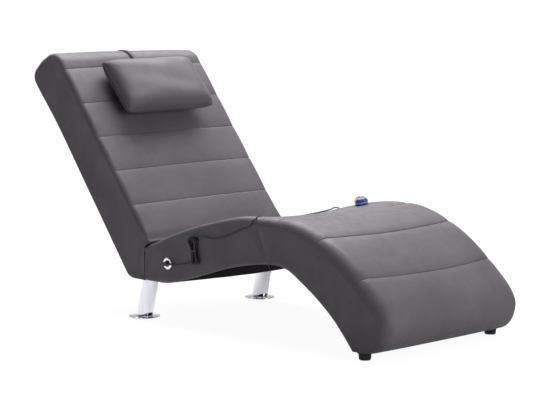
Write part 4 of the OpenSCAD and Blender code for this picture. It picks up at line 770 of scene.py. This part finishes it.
FOOT_PAD = np.array([[0.876, FOOT_H], [0.859, FOOT_H]])
JOINT_FACE = np.array([[0.0004, BASE_H + 0.0005], [0.0004, CREASE_H - 0.02]])
SIDE_SEAM = even(spline([[0.4735, 0.3420], [0.4800, 0.3330], [0.4851, 0.3238], [0.4975, 0.2927],
                         [0.5140, 0.2620], [0.5304, 0.2314], [0.5420, 0.2100]], 6), 60)
RIDGE_R = 0.0011


def by_share(table, s):
    return np.interp(s / SEAT_LEN, table[:, 0], table[:, 1])


def seat_out(s):
    """Outward direction of the top: upright at the crease, and level under the nose."""
    n = left_of(sample(SEAT_TOP, s + OUT_STEP) - sample(SEAT_TOP, s - OUT_STEP))
    n = stacked(n[..., 0] * np.minimum(1, s / CREASE_RUN), np.maximum(0, n[..., 1]))
    return n / np.maximum(np.linalg.norm(n, axis=-1, keepdims=True), 1e-9)


def edge_rise(s, y):
    """The padded edges beside the hollow stand a little proud, longer on the near side."""
    last = np.where(y < 0, ramp(s, 0.52, 0.42), ramp(s, 0.25, 0.18))
    return EDGE_RISE * ramp(np.abs(y), 0.18, 0.28) * ramp(s, 0.03, 0.12) * last


def seam_depth(z):
    """Depth of the side panels' upright seam, deeper at its upper end."""
    return 0.0008 + 0.0022 * np.clip((z - 0.21) / 0.13, 0, 1)


def seam_dip(x, z):
    """Hollow of the side panels along their upright seam."""
    off = np.sqrt((x[..., None] - SIDE_SEAM[:, 0]) ** 2 + (z[..., None] - SIDE_SEAM[:, 1]) ** 2)
    return seam_depth(z) * np.exp(-(off.min(axis=-1) / 0.011) ** 2)


def seat_shell():
    """Padded seat: the top follows the side outline along S and is dished, crowned, seamed and
    rounded along Y; the rest follows the arch; each side panel is ruled between the two."""
    s = close_marks(SEAT_LEN, 0.0058, SEAT_SEAMS)
    gap, r = nearest_gap(s, SEAT_SEAMS), SEAT_EDGE_R * by_share(SEAT_EDGES, s)
    y, drop = widths_of(r, SEAT_W / 2)
    across = 1 - (2 * y / SEAT_W) ** 2
    open_ = 1 - drop / r[:, None]
    hollow = SEAT_CROWN_H * by_share(SEAT_CROWN, s) - SEAT_DISH_H * by_share(SEAT_DISH, s)
    slack = 0.0007 * np.sin(y * 17 + s[:, None] * 9) * np.sin(s[:, None] * 21 - y * 6)
    lift = (hollow[:, None] * across - drop + edge_rise(s[:, None], y)
            + (seamed(gap, y, **SEAT_SEAM) + slack) * open_)
    at = s[:, None] + SEAT_BOW * across * np.sin(math.pi * s / SEAT_LEN)[:, None]
    flat = sample(SEAT_TOP, at) + lift[..., None] * seat_out(at)
    top = upright(flat, y)

    count, n_pad, n_joint = len(s), 5, 14
    rest = np.vstack([even(FOOT_PAD, n_pad), even(SEAT_UNDER[::-1], count - n_pad - n_joint),
                      even(JOINT_FACE, n_joint)])
    out = left_of(np.gradient(rest, axis=0))
    out[:n_pad], out[-n_joint:] = (0, -1), (-1, 0)
    under_r = np.where(np.arange(count) >= count - n_joint, JOINT_R, UNDER_R)
    y2, drop2 = widths_of(under_r, SEAT_W / 2)
    inner = rest[:, None, :] - drop2[..., None] * out[:, None, :]
    under = upright(inner, y2)

    stitch, rub = stitch_facts(gap, y, open_, 1), rubbed(drop, r)
    facts = {"stitch": [joined(stitch, np.zeros(under.shape), stitch[:1])],
             "rub": [joined(rub, np.zeros(under.shape[:2]), rub[:1])]}
    grids = with_sides(joined(top, under, top[:1]), facts, top, under[::-1], SEAT_W / 2,
                       columns=25, waves=SEAT_WAVES, worn=0.04, dip=seam_dip)
    return grids, facts, top[6:-10]


seat_grids, seat_facts, seat_edges = seat_shell()
seat = build("seat_upholstery", seat_grids, "chair", leather, seat_facts)
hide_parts("seat_cover")

ridge = SIDE_SEAM[4:]
ridge_r = RIDGE_R * np.sin(np.linspace(0.12, math.pi - 0.12, len(ridge))) ** 0.3
for side, sign in (("near", -1), ("far", 1)):
    path = upright(ridge, sign * (SEAT_W / 2 - RIDGE_R - seam_depth(ridge[:, 1]))) + JOINT
    build(f"seat_{side}_side_seam", [tube_grid(path, ridge_r, 8)], "chair",
          welt_leather)
side_welts("seat", seat_edges, SEAT_W / 2, 220)


# Backrest: S runs up its slope and V out of its face line

FACE_V = 0.0225
ROLL_FRONT = 0.061
ROLL_REAR = 0.037
BACK_T = 0.118
BACK_FLARE = 0.012
BACK_EDGE_R, BACK_CROWN_H = 0.015, 0.0035
BACK_SEAM = dict(pull=0.0034, reach=0.019, groove=0.0007, gather=0.0003, shift=0.013)
BACK_WAVES = ((0.0009, 13, 24), (0.0006, -37, 51))
ROLL_SWELL = 0.010
ROLL_DOME = 0.0032
SETTLES_OVER, SETTLED, SETTLED_MORE = (0.60, 0.70), 0.0035, 0.0055
ROLL_S = BACK_LEN - ROLL_FRONT
STRAIGHT = BACK_LEN - ROLL_REAR
CHANNELS = np.array([0.633, 0.5015, 0.375, 0.2485, 0.122])
HEEL_S, HEEL_BEND = -0.0503574, 0.022  # corner of rear and underside, and its rounding
JOINT_GAP, JOINT_ROWS = 0.00015, 12  # off the joint's plane, and points up along it
BACK_FOOT = np.array([0, CREASE_H + 0.013])
UP_SLOPE = np.array([-math.cos(BACK_ANGLE), math.sin(BACK_ANGLE)])
OFF_SLOPE = np.array([math.sin(BACK_ANGLE), math.cos(BACK_ANGLE)])


def slab(s, v):
    """Point at the distance S up the backrest's slope and V out of its face line."""
    return BACK_FOOT + np.asarray(s)[..., None] * UP_SLOPE + np.asarray(v)[..., None] * OFF_SLOPE


def rear_v(s):
    """The rear runs out by the flare towards the heel, and swells a little under the roll."""
    return (-BACK_T - BACK_FLARE * np.maximum(0, 1 - s / STRAIGHT)
            - ROLL_SWELL * np.exp(-(np.minimum(0, s - STRAIGHT) / 0.11) ** 2))


def settled(flat, y):
    """Points of the roll, let down the slope by more towards the far end, as if its stuffing has
    settled."""
    share = ramp((flat - BACK_FOOT) @ UP_SLOPE, *SETTLES_OVER)
    fall = SETTLED + SETTLED_MORE * np.clip(np.asarray(y) / 0.28, -1, 1)
    return flat - (share * fall)[..., None] * UP_SLOPE


def backrest_front():
    """Side outline from the joint up over lip, face and roll to the top; with each point the
    share of its edge radius, the share of its crown and its distance off a channel."""
    turn = np.radians(np.linspace(0, 90, 19))[1:]
    s = close_marks(ROLL_S, 0.0062, CHANNELS)
    face = slab(s, FACE_V - 0.004 * np.exp(-(s / 0.012) ** 2))
    joint = stacked(-JOINT_GAP, np.linspace(BASE_H, CREASE_H + 0.0015, JOINT_ROWS))
    lip = spline([[-JOINT_GAP, CREASE_H + 0.0025], [0.0085, 0.2375], [0.0165, 0.2410],
                  [0.0205, 0.2468], face[0] + [0.0012, -0.0035]], 4)
    roll = slab(BACK_LEN - ROLL_FRONT * (1 - np.sin(turn)),
                FACE_V - ROLL_FRONT * (1 - np.cos(turn)))
    top = top_line(FACE_V - ROLL_FRONT)
    low, high = len(joint) + len(lip), len(roll) + len(top)
    edge = joined(np.full(low, 0.3), np.interp(s, [0, 0.022, 0.055], [0.3, 0.6, 1]), np.ones(high))
    crown = joined(np.zeros(low), np.interp(s, [0, 0.022, 0.055], [0, 0.4, 1]), np.ones(high))
    gap = joined(np.ones(low), nearest_gap(s, CHANNELS),
                 turn * ROLL_FRONT + (ROLL_S - CHANNELS[0]), np.ones(len(top)))
    return np.vstack([joint, lip, face, roll, top]), edge, crown, gap, low


def top_line(v):
    """Low dome over the top, from the roll's end at V to the middle."""
    middle = (FACE_V - ROLL_FRONT + ROLL_REAR - BACK_T - ROLL_SWELL) / 2
    dome = ROLL_DOME * np.sin(np.linspace(0, math.pi / 2, 6))
    return slab(BACK_LEN + dome, np.linspace(v, middle, 6))[1:]


def backrest_behind(count):
    """The same outline from the joint back along the underside, round the heel and up the rear
    to the top, in as many points, with their edge and crown shares."""
    turn = np.radians(np.linspace(0, 90, 19))[1:]
    heel, heel_end = (slab(s, rear_v(s)) for s in (HEEL_S, HEEL_S + HEEL_BEND))
    base = stacked(np.linspace(0, heel[0] + HEEL_BEND, 12), BASE_H)[:-1]
    t = np.linspace(0, 1, 15)[:, None]
    bend = (1 - t) ** 2 * (heel + (HEEL_BEND, 0)) + 2 * t * (1 - t) * heel + t ** 2 * heel_end
    roll = slab(BACK_LEN - ROLL_REAR * (1 - np.sin(turn)),
                ROLL_REAR * (1 - np.cos(turn)) - BACK_T - ROLL_SWELL)
    top = top_line(ROLL_REAR - BACK_T - ROLL_SWELL)
    rise = count - len(base) - len(bend) - len(roll) - len(top)
    s = np.linspace(HEEL_S + HEEL_BEND, STRAIGHT, rise + 1)[1:]
    edge = joined(np.full(len(base), 0.3), np.full(len(bend) + rise, 0.5),
                  np.linspace(0.5, 1, len(roll)), np.ones(len(top)))
    crown = joined(np.zeros(len(base) + len(bend)), np.linspace(0, 0.3, 8),
                   np.full(rise - 8, 0.3), np.linspace(0.3, 1, len(roll)),
                   np.ones(len(top)))
    return np.vstack([base, bend, slab(s, rear_v(s)), roll, top]), edge, crown


def backrest_shell():
    """Backrest: each point of the closed side outline is moved along its outward direction over
    Y, by its edge's drop, its crown, its channels and a little slack."""
    front, front_edge, front_crown, front_gap, low = backrest_front()
    count = len(front)
    behind, behind_edge, behind_crown = backrest_behind(count)
    line = np.vstack([front, behind[::-1]])
    edge = joined(front_edge, behind_edge[::-1]) * BACK_EDGE_R
    crown = joined(front_crown, behind_crown[::-1])[:, None]
    gap = joined(front_gap, np.ones(count))
    ring = np.vstack([line[-2:-1], line, line[1:2]])
    out = -left_of(ring[2:] - ring[:-2])
    out[:JOINT_ROWS] = (1, 0)
    y, drop = widths_of(edge, BACK_W / 2)
    open_ = 1 - drop / edge[:, None]
    slack = 0.0005 * np.sin(y * 15 + line[:, :1] * 11) * np.sin(line[:, 1:] * 23 - y * 5)
    lift = (BACK_CROWN_H * crown * (1 - (2 * y / BACK_W) ** 2) - drop
            + (seamed(gap, y, **BACK_SEAM) + slack * (crown > 0.2)) * open_)
    flat = settled(line[:, None, :] + lift[..., None] * out[:, None, :], y)
    flat[:JOINT_ROWS, :, 0] = -JOINT_GAP
    loop = upright(flat, y)
    stitch, rub = stitch_facts(gap, y, open_, 0.4), rubbed(drop, edge) * (crown > 0.2)
    facts = {"stitch": [joined(stitch, stitch[:1])], "rub": [joined(rub, rub[:1])]}
    grids = with_sides(joined(loop, loop[:1]), facts, loop[:count], loop[::-1][:count],
                       BACK_W / 2, columns=21, waves=BACK_WAVES, worn=0.05)
    return grids, facts, loop[low + 4:2 * count - 30]


back_grids, back_facts, back_edges = backrest_shell()
backrest = build("backrest_upholstery", back_grids, "chair", leather, back_facts)
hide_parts("backrest_cover")
side_welts("backrest", back_edges, BACK_W / 2, 320)


# Pillow and strap

PILLOW_W, PILLOW_H, PILLOW_T = 0.366, 0.192, 0.088
PILLOW_DRAW, PILLOW_RIM = 0.018, 0.0015
PILLOW_POWERS = (6, 5, 0.42)
PILLOW_PLACE = 0.522  # of its middle up the slope
PILLOW_TILT = math.radians(3.5)
PILLOW_V = 0.020 + 0.006 + 0.0006 + PILLOW_T / 2 + PILLOW_H / 8 * math.sin(PILLOW_TILT)
STRAP_OFF, STRAP_END_OFF = 0.0046, 0.0036  # from the backrest's side line
STRAP_HALF_W, STRAP_HALF_T = 0.010, 0.0008
STRAP_TAIL, STRAP_SEWN_IN = 0.149, 0.004


def on_slope(points):
    """Pillow points, with X out of the face, Y across and Z up the slope, moved to their place."""
    spot = slab(PILLOW_PLACE, PILLOW_V)
    x, y, z = (points[..., k] for k in range(3))
    return stacked(spot[0] + x * OFF_SLOPE[0] + z * UP_SLOPE[0] + JOINT_X, y,
                   spot[1] + x * OFF_SLOPE[1] + z * UP_SLOPE[1])


def tilted(points):
    """The pillow's top leans towards the backrest."""
    c, s = math.cos(PILLOW_TILT), math.sin(PILLOW_TILT)
    x, y, z = (points[..., k] for k in range(3))
    return stacked(x * c - z * s, y, x * s + z * c)


def pillow_shell():
    """Pillow: each half swells by a power of the distances from its edges, its sides draw in
    between the corners, and short gathers run in from the corners.  Also its rim line."""
    u = np.sin(np.linspace(-1, 1, 81) * math.pi / 2)[:, None]
    c = np.sin(np.linspace(-1, 1, 57) * math.pi / 2)[None, :]
    across, up, rise = PILLOW_POWERS
    full = np.maximum(0, (1 - np.abs(u) ** across) * (1 - np.abs(c) ** up)) ** rise
    swell = PILLOW_RIM + (PILLOW_T / 2 - PILLOW_RIM) * full
    corner = np.exp(-((1 - np.abs(u)) ** 2 + (1 - np.abs(c)) ** 2) / 0.09)
    angle = np.arctan2((1 - np.abs(c)) * PILLOW_H, (1 - np.abs(u)) * PILLOW_W)
    gather = 0.0011 * corner * np.sin(angle * 15) * (full > 0.05)
    slack = 0.0012 * np.sin(u * 5.1 + c * 2.3) * np.sin(c * 4.7 - u * 1.4) * full
    pull = 1 - 0.004 * (u * c) ** 8
    y = PILLOW_W / 2 * u * pull * (1 - PILLOW_DRAW * (1 - c * c))
    z = PILLOW_H / 2 * c * pull * (1 - PILLOW_DRAW * (1 - u * u))
    front = stacked(swell + gather + slack, y, z)
    back = stacked(-swell, y, z)[::-1]
    rim = joined(front[:, 0], front[-1, 1:], front[::-1][1:, -1], front[0, ::-1][1:])
    rim = rim * [0, 1, 1]
    strip = np.stack([rim + [PILLOW_RIM * k, 0, 0] for k in (1, 0, -1)], axis=1)
    front[0, :, 0] = front[-1, :, 0] = PILLOW_RIM
    front[:, 0, 0] = front[:, -1, 0] = PILLOW_RIM
    return [on_slope(tilted(g)) for g in (front, back, strip)], on_slope(tilted(rim))


pillow_grids, rim_line = pillow_shell()
pillow = build("head_pillow", pillow_grids, "pillow", leather)
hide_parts("pillow_cover")
welt("pillow_welt", even(np.vstack([rim_line, rim_line[:2]]), 360), "pillow", 0.0019)


def strap_line():
    """Side line of the strap: a bend up from the pillow's top edge to the face, over the roll and
    down the rear."""
    front_r, rear_r = ROLL_FRONT + STRAP_OFF, ROLL_REAR + STRAP_OFF
    turn = np.radians(np.linspace(0, 90, 25))
    edge_h = PILLOW_H / 2 * (1 - PILLOW_DRAW)
    foot_s = PILLOW_PLACE + edge_h * math.cos(PILLOW_TILT) - STRAP_SEWN_IN
    foot_v = PILLOW_V - edge_h * math.sin(PILLOW_TILT) - 0.0006
    land_s = foot_s + (ROLL_S - foot_s) * 0.75
    t = np.linspace(0, 1, 9)
    rise_s = (1 - t) ** 2 * foot_s + 2 * t * (1 - t) * land_s + t ** 2 * ROLL_S
    rise_v = ((1 - t) ** 2 * foot_v + 2 * t * (1 - t) * (FACE_V + STRAP_OFF + 0.001)
              + t ** 2 * (FACE_V + STRAP_OFF))
    over = slab(ROLL_S + front_r * np.sin(turn), FACE_V - ROLL_FRONT + front_r * np.cos(turn))
    behind = slab(STRAIGHT + rear_r * np.sin(turn),
                  ROLL_REAR - BACK_T - ROLL_SWELL - rear_r * np.cos(turn))
    tail_s = np.linspace(STRAIGHT, STRAIGHT - STRAP_TAIL, 12)[1:]
    tail = slab(tail_s, rear_v(tail_s) - np.linspace(STRAP_OFF, STRAP_END_OFF, 11))
    return settled(np.vstack([slab(rise_s, rise_v), over[1:], behind[::-1], tail]), 0.0)


def strap_band():
    """Elastic band: a flat section that thins a little at its edges, carried along its line."""
    line = strap_line()
    out = -left_of(np.gradient(line, axis=0))
    side = np.linspace(-1, 1, 13)
    thick = STRAP_HALF_T * (1 - 0.35 * side ** 6)
    grids = []
    for sign in (1, -1):
        lift = (STRAP_HALF_T + sign * thick)[None, :, None]
        flat = line[:, None, :] + lift * out[:, None, :]
        grids.append(upright(flat, STRAP_HALF_W * side) + JOINT)
    upper, lower = grids
    grids += [np.stack([upper[:, k], lower[:, k]], axis=1) for k in (0, -1)]
    grids += [np.stack([upper[k], lower[k]], axis=1) for k in (0, -1)]
    return grids


strap = build("pillow_elastic_strap", strap_band(), None, strap_cloth)
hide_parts("pillow_strap", "strap_anchor")
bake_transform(strap)


# Cloth under the seat

CLOTH_SAG = 0.024
CLOTH_T, CLOTH_DROP = 0.0008, 0.0011
CLOTH_ROWS, CLOTH_COLUMNS = 90, 41
CLOTH_HALF_W = SEAT_W / 2 - 0.010


def cloth_under_seat():
    """Stapled cloth: it follows the arch and sags by a half sine along it and a parabola across,
    with faint ripples.  Also its length."""
    line = even(SEAT_UNDER[5:-3], CLOTH_ROWS)
    share = np.linspace(0, 1, CLOTH_ROWS)[:, None]
    y = np.linspace(-CLOTH_HALF_W, CLOTH_HALF_W, CLOTH_COLUMNS)[None, :]
    free = 1 - (y / CLOTH_HALF_W) ** 2
    ripple = 0.0006 * np.sin(y * 75 + share * 9)
    z = line[:, 1:] - CLOTH_DROP + (ripple - CLOTH_SAG) * np.sin(math.pi * share) * free
    return stacked(line[:, :1] + JOINT_X, y, z), lengths_along(line)[-1]


cloth_grid, cloth_len = cloth_under_seat()
cloth = build("under_seat_cloth", [cloth_grid], "chair", dust_cloth, closed=False)
skin = cloth.modifiers.new("cloth_thickness", "SOLIDIFY")
skin.thickness = CLOTH_T
skin.offset = 0
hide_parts("seat_dust_cover")


# Legs

LEG_TOP = np.array([-0.02095, 0.253, 0.124774])
LEG_AXIS = np.array([-0.216314, 0.0340732, -0.975729])
LEG_R = 0.025
LEG_FOOT = LEG_TOP + LEG_AXIS * (LEG_TOP[2] / -LEG_AXIS[2])
DISC_R, DISC_RIM, DISC_TOP, GLIDE_H = 0.050, 0.00252, 0.0067, 0.0015


def leg_grid(sign):
    """Leaning tube cut level at both ends: the circle round its axis slides along it to each
    height, and draws in a little at the ends."""
    turn = full_turn(96)
    a = LEG_AXIS / np.linalg.norm(LEG_AXIS)
    e1 = np.cross(a, [0, 1, 0])
    e1 /= np.linalg.norm(e1)
    e2 = np.cross(a, e1)
    ring = e1[None, :] * np.cos(turn)[:, None] + e2[None, :] * np.sin(turn)[:, None]
    level = ring - a[None, :] * (ring[:, 2:] / a[2])
    z = joined([0.0073, 0.0076], np.linspace(0.0085, 0.1236, 30), [0.1244, LEG_TOP[2]])
    r = LEG_R - joined([0.0006, 0.0001], np.zeros(30), [0.0001, 0.0006])
    centre = LEG_TOP[None, :] + a[None, :] * ((z - LEG_TOP[2]) / a[2])[:, None]
    wall = centre[:, None, :] + r[:, None, None] * level[None, :, :]
    caps = [np.stack([np.repeat(centre[k][None, :], 97, 0), wall[k]]) for k in (0, -1)]
    return [g * np.array([1, sign, 1]) + JOINT for g in [wall] + caps]


def base_profile():
    """Thin disc with a rolled rim and a low dome that rises by a quarter sine to the tube."""
    r, rim, low = DISC_R, DISC_RIM, GLIDE_H
    t = np.linspace(0, 1, 15)[1:]
    edge = [[0, low], [r - 0.0016, low], [r - 0.0006, low + 0.0003], [r, low + rim * 0.35],
            [r, low + rim * 0.6], [r - 0.0004, low + rim * 0.85], [r - rim / 2, low + rim]]
    dome = stacked(r * (1 - 0.48 * t),
                   low + rim + (DISC_TOP - low - rim) * np.sin(t * math.pi / 2))
    return np.vstack([edge, dome, [[0, DISC_TOP]]])


for side, sign in (("near", -1), ("far", 1)):
    foot = (LEG_FOOT[0] + JOINT_X, sign * LEG_FOOT[1], 0)
    tube = build(f"{side}_chrome_leg", leg_grid(sign), "chair", chrome, sharp=50)
    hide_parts(f"{side}_leg_tube")
    disc = build(f"{side}_chrome_base", [lathe_grid(base_profile(), foot, 96)], "chair",
                 chrome, sharp=50)
    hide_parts(f"{side}_leg_base")


# Handset: X runs across it, Y to its lead end; its shape holds places and shares of its width

HANDSET_MID = np.array([404.384, 247.64, 349.009]) / 1000
HANDSET_ROLL, HANDSET_PITCH, HANDSET_YAW = (math.radians(a) for a in (4.22996, -11.0877, 44))
HANDSET_LEN, HANDSET_W, HANDSET_H = 0.128, 0.042, 0.024
SPLIT_H, PARTING = 0.01008, 0.00045  # between the shells, and the gap there
HANDSET_LIFT = 0.0006
HANDSET_SHAPE = spline([[-1, 0.06], [-0.97, 0.42], [-0.88, 0.72], [-0.7, 0.9], [-0.35, 1],
                        [0.1, 0.98], [0.55, 0.88], [0.85, 0.68], [0.96, 0.42], [1, 0.06]], 6)
HANDSET_Y = HANDSET_LEN / 2 * HANDSET_SHAPE[:, 0]
KEYS = ((0, 0.28), (-0.17, 0.12), (0.17, 0.12), (0, -0.06), (0, -0.22))
KEY_GAP_SHADE_R = 0.0056  # of the dark ring round a key, painted shade in the gap round it


def on_handset(points):
    """Points of the handset, moved to its place on the seat."""
    turn = (Matrix.Rotation(HANDSET_PITCH, 3, "Y") @ Matrix.Rotation(HANDSET_ROLL, 3, "X")
            @ Matrix.Rotation(HANDSET_YAW, 3, "Z"))
    p = np.asarray(points, float) + np.array([0, 0, HANDSET_LIFT])
    return p @ np.array(turn).T + HANDSET_MID + JOINT


def oval(share, high):
    """Half width and height of a half shell at a share of its shape."""
    share = np.maximum(share, 0.02)
    return HANDSET_W / 2 * share ** 0.75, high * share ** 0.6


def handset_half(high, sign, lift):
    """Half shell: its width and height follow the shape shares along it, and each cross section
    is a half oval whose height goes by a power of the sine."""
    t = np.linspace(math.pi, 0, 49)
    w, h = oval(HANDSET_SHAPE[:, 1], high)
    z = sign * h[:, None] * np.maximum(np.sin(t), 0) ** 0.6
    shell = stacked(w[:, None] * np.cos(t), HANDSET_Y[:, None], z + SPLIT_H + lift)
    floor = np.stack([shell[:, 0], shell[:, -1]], axis=1)
    ends = [np.stack([shell[k], np.repeat((shell[k, :1] + shell[k, -1:]) / 2, 49, 0)])
            for k in (0, -1)]
    return [on_handset(g) for g in [shell, floor] + ends]


def dome_height(x, y):
    """Height of the blue dome over a place of the handset."""
    w, h = oval(np.interp(y, HANDSET_Y, HANDSET_SHAPE[:, 1]), HANDSET_H - SPLIT_H)
    return SPLIT_H + PARTING + h * np.sqrt(np.maximum(0, 1 - (x / w) ** 2)) ** 0.6


def gap_shade_line(name, points, radius):
    """A fine black line on the handset, painted shade in a gap between its parts."""
    build(name, [tube_grid(on_handset(points), radius, 8)], "chair",
          black_plastic)


upper = build("handset_blue_dome", handset_half(HANDSET_H - SPLIT_H, 1, PARTING), "chair",
              blue_shell)
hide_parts("handset_upper_shell")
lower = build("handset_pale_tray", handset_half(SPLIT_H, -1, 0), "chair", pale_shell)
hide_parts("handset_lower_shell")

split_w = oval(HANDSET_SHAPE[:, 1], 0)[0] - 0.0004
split = stacked(split_w, HANDSET_Y, SPLIT_H + 0.0002)
split = joined(split, (split * [-1, 1, 1])[::-1], split[:1])
# Painted shade: a black line in the gap between the two shells.
gap_shade_line("handset_parting_gap_shade", even(split, 200), 0.0007)

# Painted shade: a dark ring in the gap round each key.
for number, (across, along) in enumerate(KEYS, 1):
    turn = np.linspace(0, 2 * math.pi, 49)
    rim_x = across * HANDSET_W + KEY_GAP_SHADE_R * np.cos(turn)
    rim_y = along * HANDSET_LEN + KEY_GAP_SHADE_R * np.sin(turn)
    rim = stacked(rim_x, rim_y, dome_height(rim_x, rim_y) - 0.0001)
    gap_shade_line(f"handset_key_gap_shade_{number}", rim, 0.0005)


# Floor and light; the room's right and back are flat directions of the studio

FLOOR_HALF = 14
ROOM_RIGHT, ROOM_BACK = (0.72, 0.69), (-0.69, 0.72)
ROOM_LEVEL, GLOW_SHARE = 0.11, 0.84  # of the room's light, and of the floor's own white
WHITE = (1, 1, 1, 1)


def towards(x, y, way):
    """How far a place lies in a flat direction."""
    return x * way[0] + y * way[1]


def lay_floor():
    """Pale floor: white to the camera and in mirrors, where it keeps a share of the shadows, and
    darker for the light that it throws back.  A flag dims the right of it in mirrors."""
    mesh = bpy.data.meshes.new("studio_floor")
    far = FLOOR_HALF
    mesh.from_pydata([(-far, -far, 0), (far, -far, 0), (far, far, 0), (-far, far, 0)], [],
                     [(0, 1, 2, 3)])
    floor = add("studio_floor", mesh)
    material, where = start("pale_floor", 0.9)
    tree = material.node_tree
    shader = tree.nodes["Principled BSDF"]
    path = node(tree, "ShaderNodeLightPath").outputs
    camera, diffuse, glossy, through = (Value(tree, path[f"Is {kind} Ray"]) for kind in
                                        ("Camera", "Diffuse", "Glossy", "Transmission"))
    pale = noise(where, 0.6, 2.0).mix(srgb(246, 246, 247), srgb(250, 250, 250))
    tree.links.new(diffuse.mix(pale, srgb(150, 150, 152)).socket, shader.inputs["Base Color"])
    x, y, z = where.parts()
    flag = glossy * towards(x, y, ROOM_RIGHT).spread(-0.4, 0.3, 0.0, 0.65)
    away = of_node(tree, "ShaderNodeVectorMath", {"operation": "LENGTH"}, "Value", i0=where)
    glow = of_node(tree, "ShaderNodeEmission", Color=WHITE,
                   Strength=(1.0 - flag) * away.spread(1.4, 3.2, 1.13, 1.2))
    seen = maths("MAXIMUM", camera, maths("MAXIMUM", glossy, through)) * GLOW_SHARE
    blended = node(tree, "ShaderNodeMixShader", Fac=seen, i1=Value(tree, shader.outputs[0]),
                   i2=glow)
    tree.links.new(blended.outputs[0], tree.nodes["Material Output"].inputs["Surface"])
    mesh.materials.append(material)


def soft_lamp(name, place, aim, size, power):
    data = bpy.data.lights.new(name, "AREA")
    data.shape = "RECTANGLE"
    data.size, data.size_y = size
    data.energy = power
    lamp = add(name, data)
    lamp.location = place
    lamp.rotation_euler = (Vector(aim) - Vector(place)).to_track_quat("-Z", "Y").to_euler()


def light_studio():
    """Overhead softbox behind the backrest, a weak one at the foot end, and a dim room that looks
    white in mirrors but for a darker wall on the right and a dark band at the back."""
    soft_lamp("overhead_softbox", place=(-0.85, 0.7, 3.0), aim=(0.2, 0, 0.3), size=(2.6, 2.4),
              power=124)
    soft_lamp("foot_end_softbox", place=(2.6, 0.4, 1.05), aim=(0, 0, 0.3), size=(2.2, 1.6),
              power=24)
    world = bpy.data.worlds.new("studio_room")
    bpy.context.scene.world = world
    world.use_nodes = True
    tree = world.node_tree
    tree.nodes.clear()
    path = node(tree, "ShaderNodeLightPath").outputs
    camera, glossy = (Value(tree, path[f"Is {kind} Ray"]) for kind in ("Camera", "Glossy"))
    x, y, z = of_node(tree, "ShaderNodeTexCoord", output="Generated").parts()
    wall = towards(x, y, ROOM_RIGHT).spread(0.25, 0.7, 1.0, 0.34)
    dark = towards(x, y, ROOM_BACK).spread(0.1, 0.6, 0.85, 0.4)
    mirror = wall * (1.0 - z.spread(0.08, 0.22) * dark)
    level = ROOM_LEVEL
    for ray, seen in ((glossy, mirror), (camera, 1.0)):
        level = of_node(tree, "ShaderNodeMix", {"data_type": "FLOAT"}, Factor=ray, A=level, B=seen)
    room = node(tree, "ShaderNodeBackground", Color=WHITE, Strength=level)
    tree.links.new(room.outputs[0], node(tree, "ShaderNodeOutputWorld").inputs["Surface"])
    bpy.context.scene.view_settings.view_transform = "Standard"


lay_floor()
light_studio()
